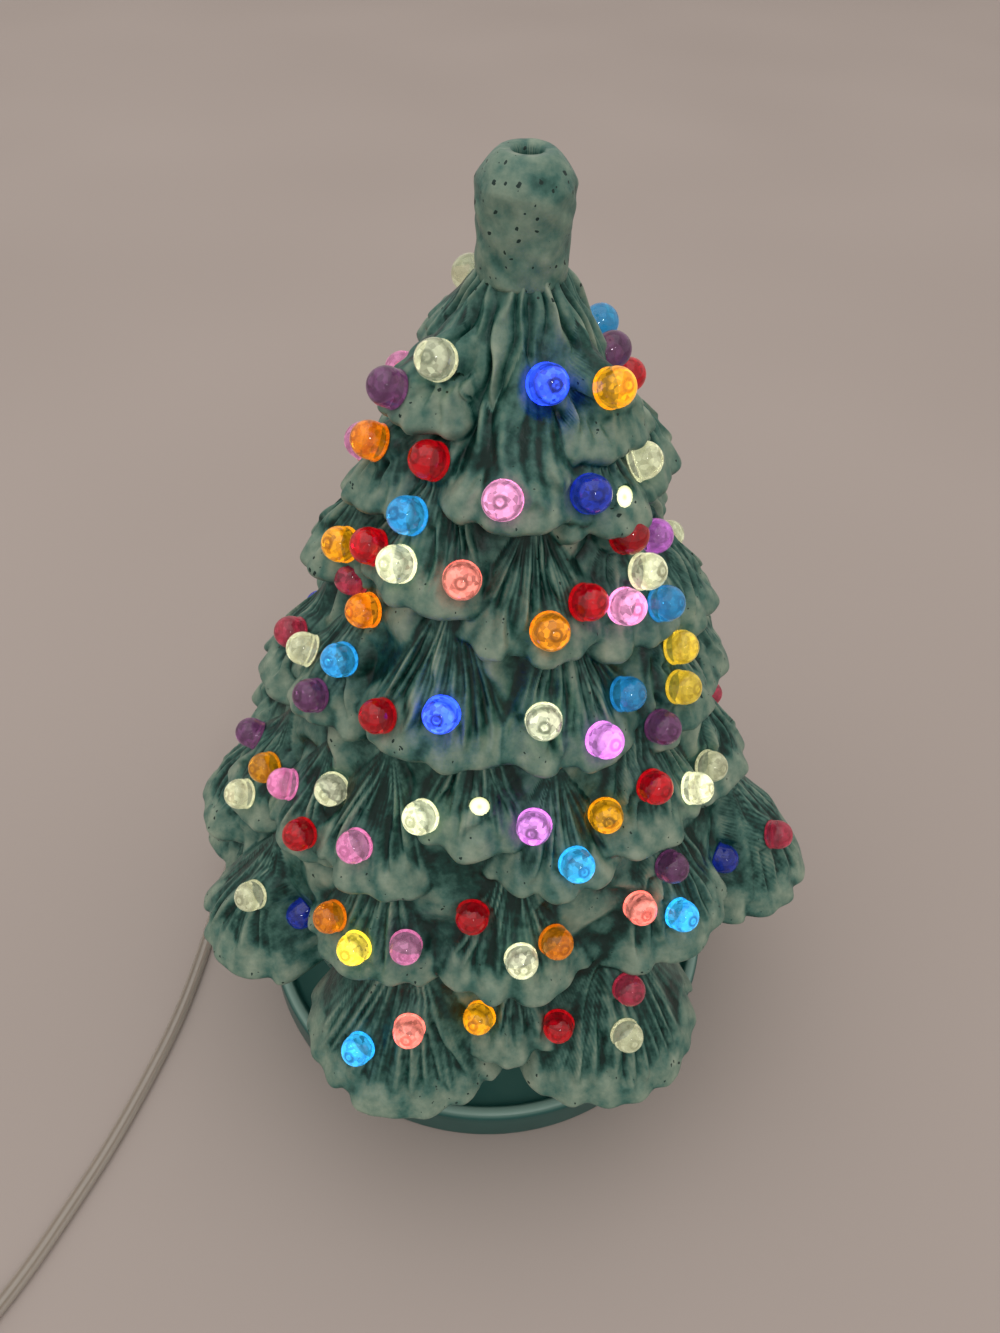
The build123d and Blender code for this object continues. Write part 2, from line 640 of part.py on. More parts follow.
def make_cord(socket_bottom):
    """The cord in its stretches: inside the base, along the table, past the switch, coiled, to the plug."""
    rest = cord_diameter / 2
    exit_way = outward(cord_notch_azimuth)
    gate = exit_way * (base_radius + base_wall)
    inside = [(0, 0, socket_bottom), (0, 0, rest), (-21, 46, rest), (gate.X, gate.Y, rest)]
    total = cord_tube(inside, "cord_inside")
    first = Vector(inside[-1][0] - inside[-2][0], inside[-1][1] - inside[-2][1], 0).normalized()
    ramp = [(SWITCH_X + 3, SWITCH_NEAR_Y + 35, rest + 1.2), (SWITCH_X, SWITCH_NEAR_Y + 16, switch_parting),
            (SWITCH_X, SWITCH_NEAR_Y, switch_parting)]
    start = Vector(*inside[-1])
    lead = [start, start + first * 12] + [(x, y, rest) for x, y in LEAD_ROUTE] + ramp
    total += cord_tube(lead, "cord_lead")
    make_switch()
    layer_z = rest + tie_thickness + tie_clearance
    far_y = SWITCH_NEAR_Y - switch_length
    tail = [(SWITCH_X, far_y, switch_parting), (SWITCH_X, far_y - 12, switch_parting),
            (SWITCH_X, COIL_CENTRE_Y + 16, layer_z), (SWITCH_X, COIL_CENTRE_Y + cord_diameter, layer_z)]
    total += cord_tube(tail, "cord_tail") + switch_length
    finish, side, coil_length, reach = make_coil(Vector(*tail[-1]), layer_z)
    total += coil_length
    make_tie(SWITCH_X + reach, COIL_CENTRE_Y, layer_z, reach)
    end_run = reach + cord_diameter
    way = 1 if finish.Y > COIL_CENTRE_Y else -1
    plug_tail = finish + Vector(0, way * end_run, 0)
    run = Pos(*((finish + plug_tail) * 0.5)) * Rot(90, 0, 0) * Cylinder(cord_diameter / 2, end_run)
    save("cord_end", run)
    total += end_run
    make_plug(plug_tail, way)
    print("cord length in all", round(total, 1), "coil end", finish, "layer", layer_z)


make_base()
socket_bottom, contact_top = make_socket()
make_lamp(contact_top)
make_cord(socket_bottom)
make_tree()
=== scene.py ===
# %% [markdown]
# # A lit ceramic Christmas tree
# The solids of the tree, its base, bulbs, lamp and cord are loaded as a fixed frame. This lesson dresses
# them: it models the glazed casting with its needles and lumpy hems, the moulded bulbs and the flat cord as
# numpy surfaces, and gives each piece the finish of the real material. Lengths are worked out in
# millimetres, as on a drawing, and turned to metres when a mesh is made.

# %% Load the frame
import math

import bmesh
import bpy
import numpy as np
from mathutils import Matrix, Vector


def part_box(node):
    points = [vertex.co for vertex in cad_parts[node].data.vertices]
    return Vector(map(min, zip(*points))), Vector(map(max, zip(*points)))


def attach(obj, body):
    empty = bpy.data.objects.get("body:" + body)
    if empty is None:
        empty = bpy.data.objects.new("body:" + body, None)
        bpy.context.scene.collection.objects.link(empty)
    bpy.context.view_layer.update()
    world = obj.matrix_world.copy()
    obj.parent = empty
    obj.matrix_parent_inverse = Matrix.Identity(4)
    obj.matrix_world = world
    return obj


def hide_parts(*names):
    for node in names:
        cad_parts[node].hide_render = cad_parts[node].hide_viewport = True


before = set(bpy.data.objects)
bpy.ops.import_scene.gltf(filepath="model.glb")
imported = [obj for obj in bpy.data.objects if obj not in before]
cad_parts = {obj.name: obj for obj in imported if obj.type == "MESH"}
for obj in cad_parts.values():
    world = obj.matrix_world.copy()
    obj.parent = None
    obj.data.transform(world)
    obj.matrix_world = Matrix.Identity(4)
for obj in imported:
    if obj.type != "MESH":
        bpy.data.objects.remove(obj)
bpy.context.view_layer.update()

MM = 0.001

# %% [markdown]
# ## Small tools
# A mesh is filled from whole arrays, because that is far quicker than adding one vertex at a time. A grid of
# points needs only its faces: each one joins a point to its neighbour round the turn and to the row below.
# Poles are rows of equal points, and welding equal points closes them.


# %% Mesh tools
WELD_REACH = 1e-7
SHORTEST_EDGE = 1e-8


def smooth_step(low, high, value):
    """0 below low and 1 above high, with an S-shaped cubic between them."""
    share = np.clip((value - low) / (high - low), 0, 1)
    return share * share * (3 - 2 * share)


def grid_faces(rows, columns):
    """Quads of a grid whose rows run down and whose columns run once round, the last joined to the first."""
    here = np.arange(columns)[None, :] + columns * np.arange(rows - 1)[:, None]
    beside = np.roll(here, -1, axis=1)
    corners = (here, here + columns, beside + columns, beside)
    return np.stack([corner.reshape(-1) for corner in corners], axis=1)


def make_piece(name, parts, body, material, slot, replaced=(), closed=True, **numbers):
    """One mesh piece from several grids of points in millimetres, with a named number for each point."""
    points = np.concatenate([part.reshape(-1, 3) for part in parts]) * MM
    faces = []
    start = 0
    for part in parts:
        rows, columns = part.shape[:2]
        faces.append(grid_faces(rows, columns) + start)
        start += rows * columns
    mesh = bpy.data.meshes.new(name)
    mesh.from_pydata(points, [], np.concatenate(faces))
    for label, values in numbers.items():
        layer = mesh.attributes.new(label, "FLOAT", "POINT")
        layer.data.foreach_set("value", np.concatenate([value.reshape(-1) for value in values]))
    piece = bpy.data.objects.new(name, mesh)
    bpy.context.scene.collection.objects.link(piece)
    if closed:
        weld(mesh)
    mesh.shade_smooth()
    mesh.materials.append(material)
    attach(piece, body)
    if replaced:
        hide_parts(*replaced)
    print(name, "triangles", sum(len(face.vertices) - 2 for face in mesh.polygons))
    return piece


def weld(mesh):
    """Joins points that lie in one place, which closes seams and poles."""
    work = bmesh.new()
    work.from_mesh(mesh)
    bmesh.ops.remove_doubles(work, verts=work.verts, dist=WELD_REACH)
    bmesh.ops.dissolve_degenerate(work, edges=work.edges, dist=SHORTEST_EDGE)
    work.to_mesh(mesh)
    work.free()


print("quads of a grid of 3 by 4 points", len(grid_faces(3, 4)))

# %% [markdown]
# ## Colours and nodes
# A colour picked on a screen is an sRGB value, and a shader works with linear light, so one function turns
# hex values to linear ones. One more function adds any node, sets it and links it, so that a material reads
# as a list of its nodes. A pattern's scale is worked out from its real size in millimetres.


# %% Material tools
def linear(colour, alpha=1.0):
    """An sRGB hex value such as #2b4a48 as linear red, green, blue and alpha."""
    parts = np.array([int(colour[i:i + 2], 16) for i in (1, 3, 5)]) / 255
    lit = np.where(parts <= 0.04045, parts / 12.92, ((parts + 0.055) / 1.055) ** 2.4)
    return (*lit.tolist(), alpha)


def per_metre(size_mm):
    """A pattern's scale: how many times its size in millimetres goes into a metre."""
    return 1 / (size_mm * MM)


def add(tree, kind, settings=None, stops=(), **inputs):
    """Adds a node: settings are its properties, stops the (place, hex value) pairs of a colour ramp, and
    inputs its sockets, by name or as _number, each a value or an output to link."""
    node = tree.nodes.new("ShaderNode" + kind)
    for key, value in (settings or {}).items():
        setattr(node, key, value)
    while stops and len(node.color_ramp.elements) < len(stops):
        node.color_ramp.elements.new(0.5)
    for number, (place, colour) in enumerate(stops):
        node.color_ramp.elements[number].position = place
        node.color_ramp.elements[number].color = linear(colour)
    for key, value in inputs.items():
        socket = node.inputs[int(key[1:])] if key[1:].isdigit() else node.inputs[key.replace("_", " ")]
        if isinstance(value, bpy.types.NodeSocket):
            tree.links.new(value, socket)
        else:
            socket.default_value = value
    return node


def finish_of(name, **values):
    """A new material with its node tree and its main shader, whose sockets get the given values."""
    material = bpy.data.materials.new(name)
    material.use_nodes = True
    shader = material.node_tree.nodes["Principled BSDF"]
    for key, value in values.items():
        shader.inputs[key.replace("_", " ")].default_value = value
    return material, material.node_tree, shader


print("middle grey #808080 in linear light", round(linear("#808080")[0], 3))

# %% [markdown]
# ## The camera
# The photograph looks down on the tree from the front, at about 45 degrees and tilted a little. The lens,
# the place and the tilt were fitted to the base's rim, the stub and the hems. The camera could be aimed with
# a constraint, but its axes written out as a matrix hold the tilt too.

# %% Camera
IMAGE_LONG_SIDE = 1333
FOCAL_PIXELS = 980.0
SENSOR_WIDTH = 36.0
CAMERA_PITCH = math.radians(44.9)
CAMERA_ROLL = math.radians(3.1)
CAMERA_PLACE = (0.0, -224.7, 380.5)

upward = np.array([0, math.sin(CAMERA_PITCH), math.cos(CAMERA_PITCH)])
sideways = np.array([1.0, 0, 0])
looking = np.array([0, math.cos(CAMERA_PITCH), -math.sin(CAMERA_PITCH)])
camera_x = math.cos(CAMERA_ROLL) * sideways + math.sin(CAMERA_ROLL) * upward
camera_y = math.cos(CAMERA_ROLL) * upward - math.sin(CAMERA_ROLL) * sideways
camera = bpy.data.objects.new("camera", bpy.data.cameras.new("camera"))
camera.data.sensor_width = SENSOR_WIDTH
camera.data.lens = FOCAL_PIXELS / IMAGE_LONG_SIDE * SENSOR_WIDTH
camera.data.clip_start = 0.01
pose = np.eye(4)
pose[:3, :3] = np.stack([camera_x, camera_y, -looking], axis=1)
pose[:3, 3] = np.array(CAMERA_PLACE) * MM
camera.matrix_world = Matrix(pose.tolist())
bpy.context.scene.collection.objects.link(camera)
bpy.context.scene.camera = camera
print("lens", round(camera.data.lens, 2), "mm")

# %% [markdown]
# ## The cord
# A lamp of this kind has a flat twin cord of clear vinyl: two copper cores side by side. Its line is one
# smooth NURBS curve whose control points are the cord's route: down from the socket, out of the notch at
# the back, along the table, through the switch, into the tied coil and on to the plug. Blender could bevel
# the curve itself. Here numpy carries the section, two circles that just overlap, along the line that
# Blender works out from those points, because the cord then can roll on edge where it is coiled.

# %% Cord route
CORD_WIDTH = 5.3
CORD_THICKNESS = 2.7
CORD_TUBE = 3.6
SOCKET_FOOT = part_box("socket_sleeve")[0].z / MM
NOTCH_AZIMUTH = math.radians(-150)
NOTCH_REACH = 95.0
SWITCH_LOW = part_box("switch_lower")[0] / MM
SWITCH_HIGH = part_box("switch_lower")[1] / MM
SWITCH_X = (SWITCH_LOW.x + SWITCH_HIGH.x) / 2
SWITCH_SEAM = SWITCH_HIGH.z
TABLE_LINE = 1.5
INSIDE_ROUTE = [(0, 0, SOCKET_FOOT), (0, 0, CORD_TUBE / 2), (-21, 46, CORD_TUBE / 2)]
TABLE_ROUTE = [(-62, 103), (-84, 108), (-103, 92), (-112, 58), (-116.5, 17), (-117.5, -24), (-120, -52),
               (-125, -76), (-131.5, -101), (-139, -122), (-147, -143), (-157, -162)]
COIL_CENTRE_Y = -310.0
COIL_PITCH = 4.4
COIL_STEP = 4.3
COIL_INNER = 11.0
COIL_TURNS = 4
COIL_POINTS = 9
TIE_ROOM = 1.5


def coil_route(start):
    """Half turns that wind in, climb one layer and wind out again, each an even row of points on its arc."""
    half = COIL_PITCH / 2
    reach = COIL_INNER + COIL_TURNS * COIL_PITCH
    radii = [reach - half * step for step in range(2 * COIL_TURNS)]
    climb = len(radii)
    radii += [COIL_INNER + half * step for step in range(2 * COIL_TURNS + 1)]
    x, y, z = start
    y -= CORD_TUBE
    side = 1
    rows = [np.array([start])]
    for step, radius in enumerate(radii):
        share = np.arange(COIL_POINTS) / COIL_POINTS
        rise = COIL_STEP if step == climb else 0
        turn = math.pi * share
        rows.append(np.stack([x + side * radius * (1 - np.cos(turn)), y - side * radius * np.sin(turn),
                              z + rise * share], axis=1))
        x += side * 2 * radius
        z += rise
        side = -side
    way = -side
    rows.append(np.array([(x, y, z), (x, y + way * CORD_TUBE, z)]))
    return np.concatenate(rows), way, reach


gate = np.array([math.sin(NOTCH_AZIMUTH), -math.cos(NOTCH_AZIMUTH)]) * NOTCH_REACH
heading = (gate - INSIDE_ROUTE[2][:2]) / np.linalg.norm(gate - INSIDE_ROUTE[2][:2])
layer_z = CORD_TUBE / 2 + TIE_ROOM
coil, coil_way, coil_reach = coil_route((SWITCH_X, COIL_CENTRE_Y + CORD_TUBE, layer_z))
route = np.concatenate([
    INSIDE_ROUTE,
    [(*gate, TABLE_LINE), (*(gate + 12 * heading), TABLE_LINE)],
    [(x, y, TABLE_LINE) for x, y in TABLE_ROUTE],
    [(SWITCH_X + 3, SWITCH_HIGH.y + 35, TABLE_LINE + 1.2), (SWITCH_X, SWITCH_HIGH.y + 16, SWITCH_SEAM),
     (SWITCH_X, SWITCH_HIGH.y, SWITCH_SEAM), (SWITCH_X, SWITCH_LOW.y, SWITCH_SEAM),
     (SWITCH_X, SWITCH_LOW.y - 12, SWITCH_SEAM), (SWITCH_X, COIL_CENTRE_Y + 16, layer_z)],
    coil,
    [coil[-1] + (0, coil_way * (coil_reach + CORD_TUBE), 0)]])
print("cord route points", len(route))


# %% Cord line
LINE_ORDER = 3
LINE_STEPS = 6
LEAST_STEP = 1e-4


def smooth_line(points):
    """The points that Blender gives for a NURBS line on these control points, in millimetres."""
    curve = bpy.data.curves.new("cord_line", "CURVE")
    curve.dimensions = "3D"
    curve.resolution_u = LINE_STEPS
    spline = curve.splines.new("NURBS")
    spline.points.add(len(points) - 1)
    spline.points.foreach_set("co", np.column_stack([points * MM, np.ones(len(points))]).reshape(-1))
    spline.order_u = LINE_ORDER
    spline.use_endpoint_u = True
    holder = bpy.data.objects.new("cord_line", curve)
    bpy.context.scene.collection.objects.link(holder)
    bpy.context.view_layer.update()
    mesh = bpy.data.meshes.new_from_object(holder)
    found = np.empty(len(mesh.vertices) * 3)
    mesh.vertices.foreach_get("co", found)
    bpy.data.objects.remove(holder)
    bpy.data.curves.remove(curve)
    bpy.data.meshes.remove(mesh)
    found = found.reshape(-1, 3) / MM
    keep = np.r_[True, np.linalg.norm(np.diff(found, axis=0), axis=1) > LEAST_STEP]
    return found[keep]


line = smooth_line(np.asarray(route, float))
steps = np.linalg.norm(np.diff(line, axis=0), axis=1)
along = np.r_[0, np.cumsum(steps)]
print("cord length", round(along[-1]), "mm on", len(line), "stations")


# %% Cord section
LOBE_ARC = 128
LOBE_POINTS = 12
LEAST_LEVEL = 0.3


def twin_section():
    """Outline of two circles that just overlap, once round: the open arc of one, then of the other.

    The first number lies across the flat and the second through its thickness.
    """
    lobe = CORD_THICKNESS / 2
    spread = CORD_WIDTH / 2 - lobe
    turn = np.radians(np.linspace(-LOBE_ARC, LOBE_ARC, LOBE_POINTS))
    right = np.stack([spread + lobe * np.cos(turn), lobe * np.sin(turn)], axis=1)
    return np.concatenate([right, -right])


def carried(path, section, roll):
    """A section carried along a path: its first axis lies level across the path, turned by roll about it.

    Where the path runs nearly upright, no level direction is sure, and the last sure one before it is kept.
    """
    ahead = np.gradient(path, axis=0)
    ahead /= np.linalg.norm(ahead, axis=1)[:, None]
    across = np.cross(ahead, (0, 0, 1.0))
    size = np.linalg.norm(across, axis=1)
    across = across[np.maximum.accumulate(np.where(size > LEAST_LEVEL, np.arange(len(path)), 0))]
    first = np.argmax(size > LEAST_LEVEL)
    across[:first] = across[first]
    across -= (across * ahead).sum(axis=1)[:, None] * ahead
    across /= np.linalg.norm(across, axis=1)[:, None]
    above = np.cross(across, ahead)
    wide = np.cos(roll)[:, None] * across + np.sin(roll)[:, None] * above
    thick = np.cos(roll)[:, None] * above - np.sin(roll)[:, None] * across
    ring = path[:, None] + section[None, :, :1] * wide[:, None] + section[None, :, 1:] * thick[:, None]
    ends = [np.broadcast_to(path[i], (1, len(section), 3)) for i in (0, -1)]
    return np.concatenate([ends[0], ring, ends[1]])


section = twin_section()
print("cord section", section.max(axis=0).round(2) * 2, "mm")

# %% [markdown]
# ## The cord's vinyl
# The cord's cover is soft vinyl, pressed round both copper cores in one go. It is clear, so the copper shows
# through as two warm stripes. The cores could be modelled inside it. A number called "core" on the points
# over each core tints the cover instead, since the real cores are hardly seen.

# %% Cord piece
COIL_ROLL = math.radians(45)
ROLL_IN = (20, 5)
ROLL_OUT = (5, 15)
CORE_OFFSET = 1.3
CORE_HALF = 0.7


def vinyl():
    """Clear soft vinyl, extruded: glossy and slightly milky, with the copper cores as a warm tint."""
    material, tree, shader = finish_of("clear_vinyl_over_copper", Roughness=0.2, IOR=1.53,
                                       Transmission_Weight=0.55)
    cores = add(tree, "Attribute", {"attribute_name": "core"}).outputs["Fac"]
    tint = add(tree, "ValToRGB", stops=[(0.0, "#d0c8bd"), (0.6, "#bcb1a3"), (1.0, "#a99b89")], Fac=cores)
    tree.links.new(tint.outputs["Color"], shader.inputs["Base Color"])
    return material


coil_start = along[np.argmin(np.linalg.norm(line - coil[0], axis=1))]
coil_end = along[np.argmin(np.linalg.norm(line - coil[-1], axis=1))]
roll = COIL_ROLL * (smooth_step(coil_start - ROLL_IN[0], coil_start + ROLL_IN[1], along)
                    - smooth_step(coil_end - ROLL_OUT[0], coil_end + ROLL_OUT[1], along))
tube = carried(line, section, roll)
over_core = np.abs(np.abs(section[:, 0]) - CORE_OFFSET) < CORE_HALF
core_share = np.broadcast_to(over_core, tube.shape[:2]).astype(float)
cord_nodes = ["cord_inside", "cord_lead", "cord_tail", "cord_coil", "cord_end"]
cord = make_piece("flat_cord", [tube], "base", vinyl(), "cord", cord_nodes, core=[core_share])

# %% [markdown]
# ## Where the bulbs sit
# The bulbs sit in holes of the casting. Their places could be typed in again, but reading them from the
# solids keeps bulbs and holes together. Triangles that share corners belong to one bulb, its axis is the
# line that its corners spread along most, and its seat lies one bulb's height under the top of its dome.

# %% Bulb places
BULB_HEIGHT = 7.6
BULB_RADIUS = 4.75
BULB_COLOURS = {"clear": "#d9dab8", "red": "#c3081c", "amber": "#dc9a12", "yellow": "#eed24a",
                "orange": "#e38a14", "azure": "#38a8de", "blue": "#2440c4", "purple": "#7d4c78",
                "violet": "#d98ae0", "pink": "#f09ccb", "salmon": "#f58a7c", "rose": "#bb3f58"}


def node_mesh(node):
    """Corner points in millimetres, equal ones merged, and the triangles of a node."""
    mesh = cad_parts[node].data
    points = np.empty(len(mesh.vertices) * 3)
    mesh.vertices.foreach_get("co", points)
    mesh.calc_loop_triangles()
    triangles = np.empty(len(mesh.loop_triangles) * 3, int)
    mesh.loop_triangles.foreach_get("vertices", triangles)
    merged, number = np.unique((points.reshape(-1, 3) / MM).round(3), axis=0, return_inverse=True)
    return merged, number.reshape(-1)[triangles].reshape(-1, 3)


def bulb_places(node):
    """Seat centre and outward direction of every bulb in a node.

    Each corner takes the lowest number among its triangle's corners until none changes: one number a bulb.
    """
    points, triangles = node_mesh(node)
    label = np.arange(len(points))
    settled = False
    while not settled:
        lower = label.copy()
        np.minimum.at(lower, triangles, label[triangles].min(axis=1)[:, None])
        lower = lower[lower]
        settled = np.array_equal(lower, label)
        label = lower
    seats = []
    for name in np.unique(label):
        bulb = points[label == name]
        middle = bulb.mean(axis=0)
        axis = np.linalg.svd(bulb - middle, full_matrices=False)[2][0]
        height = (bulb - middle) @ axis
        aside = np.linalg.norm(bulb - middle - height[:, None] * axis, axis=1)
        if aside[height > 0].max() < aside[height < 0].max():
            axis, height = -axis, -height
        seats.append(np.concatenate([middle + axis * (height.max() - BULB_HEIGHT), axis]))
    return np.array(seats)


bulbs = {colour: bulb_places("bulbs_" + colour) for colour in BULB_COLOURS}
seats = np.concatenate(list(bulbs.values()))
print("bulbs", len(seats))

# %% [markdown]
# ## The casting
# The tree was cast in a mould and its branches flow into each other. They could be sculpted, or be separate
# meshes that are joined. Here the outside is one skin, a distance from the axis for every azimuth and
# height, because that blends the branches without seams. Each branch is a cone of needles that ends in a
# thick, lumpy hem. A ray from the tree's axis leaves the branch's ring at one distance, and a smooth maximum
# over all branches and the trunk rounds the valleys where they meet, as slip does. The number "tone" that
# goes with each point tells the glaze where it is thick and dark, in the grooves, and where it is thin and
# pale, on ridges and hems. It also holds painted shade: darker under each hem, and darker in the creases
# where branches meet, partly for glaze that pools there and partly as painted shade.

# %% Casting sizes
SEAT_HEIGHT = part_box("tree_shell")[0].z / MM
TREE_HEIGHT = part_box("tree_shell")[1].z / MM - SEAT_HEIGHT
TREE_WALL = 5.0
FOOT_RADIUS = 76.0
BELLY_HEIGHT = 56.0
SKIRT_RADIUS = 115.4
CROWN_RADIUS = 27.0
CROWN_HEIGHT = 226.0
BRANCH_STAND = 10.0
BRANCH_SLOPE = math.tan(math.radians(32))
BEAD_HEIGHT = 6.5
BEAD_CHAMFER = 2.0
STUB_RADIUS = 11.3
STUB_LENGTH = 26.0
STUB_ROOT = 30.0
STUB_WALL = 5.3
STAR_HOLE = 3.2
STUB_BASE = TREE_HEIGHT - STUB_LENGTH

# Branches, tier by tier from the crown down: azimuth, hem height, lobe radius, extra reach
CROWN = [(-58, 202, 15, 0), (4, 186, 20, 0), (55, 198, 15, 0),
         (160, 202, 15, 0), (-108, 214, 9, -8), (-150, 204, 15, 0)]
SECOND = [(-62, 178, 15, 0), (44, 181, 17, 0), (82, 183, 16, 0), (138, 182, 17, -1),
          (178, 176, 17, 0), (-124, 182, 16, -4)]
THIRD = [(-75, 154, 17, 2), (-32, 163, 22, -1), (11, 155, 20, 0), (48, 150, 20, 0),
         (80, 140, 19, 1), (122, 158, 19, -3), (162, 152, 20, 0), (-156, 160, 20, 0),
         (-118, 156, 18, -3)]
FOURTH = [(-80, 108, 21, 2), (-55, 118, 20, 0), (-18, 125, 25, 0), (21, 125, 24, 0),
          (58, 118, 21, 0), (90, 110, 21, -1), (128, 124, 23, -2), (168, 118, 23, 0),
          (-154, 126, 23, 0), (-118, 118, 21, -3)]
FIFTH = [(-96, 72, 23, -2), (-70, 66, 22, 2), (-49, 76, 20, -1), (-29, 81, 24, 0),
         (-5, 100, 21, -2), (16, 88, 21, 0), (42, 93, 25, 1), (76, 82, 23, 0),
         (112, 84, 25, -3), (144, 88, 26, 0), (178, 82, 26, 0), (-150, 88, 26, 0),
         (-122, 80, 24, -3)]
SIXTH = [(-80, 44, 25, 5), (-56, 24, 27, 5), (-25, 52, 26, -1), (6, 54, 26, -1),
         (44, 51, 30, 1), (77, 33, 30, 11), (122, 44, 28, -2), (150, 50, 29, 0),
         (-176, 44, 29, 0), (-144, 50, 29, 0), (-112, 40, 28, -2)]
LOWEST = [(-17, 9, 34, 1), (6, 22, 18, -10), (29, 8, 35, 0), (114, 8, 33, -6), (150, 12, 33, -2),
          (-170, 8, 33, -2), (-132, 10, 33, -4), (-88, 12, 31, -4)]
BRANCHES = CROWN + SECOND + THIRD + FOURTH + FIFTH + SIXTH + LOWEST
EMPTY_HOLES = [(-3, 115), (44, 191)]


def tip_radius(height):
    """Radius of the cone that the branch tips lie on."""
    return SKIRT_RADIUS - (SKIRT_RADIUS - CROWN_RADIUS) / CROWN_HEIGHT * height


def trunk_radius(height):
    """Radius of the casting between its branches: up the belly, up the cone, in to the stub."""
    root = STUB_BASE - STUB_ROOT
    heights = [0, BELLY_HEIGHT, root, STUB_BASE, TREE_HEIGHT]
    radii = [FOOT_RADIUS, tip_radius(BELLY_HEIGHT) - BRANCH_STAND, tip_radius(root) - BRANCH_STAND,
             STUB_RADIUS, STUB_RADIUS]
    return np.interp(height, heights, radii)


print("casting", round(TREE_HEIGHT), "mm high with", len(BRANCHES), "branches")

# %% Needles
NEEDLE_PITCH = 6.6
STREAK_PITCH = 2.7
RIDGE_SHARE = 0.82
VEIN_SHARE = 0.18


def waves(draw, turn, down, orders, size):
    """A smooth chance wobble: sines of whole orders round the turn, each drifting down the branch."""
    total = 0.0
    for order in orders:
        total = total + np.sin(order * turn + draw.uniform(-3, 3) * down + draw.uniform(0, 2 * math.pi))
    return size * total / math.sqrt(len(orders))


def needle_wave(draw, turn, down, count):
    """Needles of uneven width and height round a turn: a rounded wave whose phase and strength wander."""
    drift = waves(draw, turn, 3 * down, (2, 3, 5), 2.2)
    phase = count * turn + drift + waves(draw, turn, 7 * down, (7, 11), 1.0)
    ridge = (0.5 + 0.5 * np.cos(phase)) ** 0.65
    vein = 0.5 + 0.5 * np.cos(2 * phase + waves(draw, turn, 6 * down, (3, 5, 8), 1.6))
    strength = np.clip(0.85 + waves(draw, turn, 4 * down, (4, 6, 9), 0.35), 0.2, 1.4)
    return (RIDGE_SHARE * ridge + VEIN_SHARE * vein) * strength


def count_round(radius, pitch):
    """How many times a pitch goes into a circle of this radius."""
    return round(2 * math.pi * radius / pitch)


widest = max(branch[2] for branch in BRANCHES)
print("widest lobe", widest, "mm, needles", count_round(widest, NEEDLE_PITCH))

# %% One branch
NEEDLE_HEIGHT = 3.2
NEEDLE_LEVEL = 0.75
LUMP_PITCH = 17.0
LUMP_HEIGHT = 2.4
LUMP_LEVEL = 0.7
HEM_DROOP = 3.0
HEM_ROUND = 4.0
PAD_HEIGHT = 8.5
PAD_WANDER = 3.0
PAD_RAGGED = 1.8
STRAIGHT_ABOVE = 185.0
GROOVE_TONE = 0.30
RIDGE_TONE = 0.56
STREAK_TONE = 0.36
HEM_TONE = 0.60
LUMP_TONE = 0.3
# Painted shade under the hems
UNDERSIDE_SHADE = 0.2


def ray_on_ring(offset, centre, ring):
    """Where a ray from the tree's axis leaves a ring, and the turn of that point on the ring.

    The ring's centre lies at a distance from the axis and at an azimuth offset from the ray, so the ray
    passes it aside by that distance times the offset's sine. A ray that misses gives minus infinity.
    """
    aside = centre * np.sin(offset)
    sine = np.clip(aside / np.maximum(ring, 1e-6), -1, 1)
    reach = centre * np.cos(offset) + ring * np.sqrt(1 - sine ** 2)
    return np.where(np.abs(aside) < ring, reach, -np.inf), offset + np.arcsin(sine)


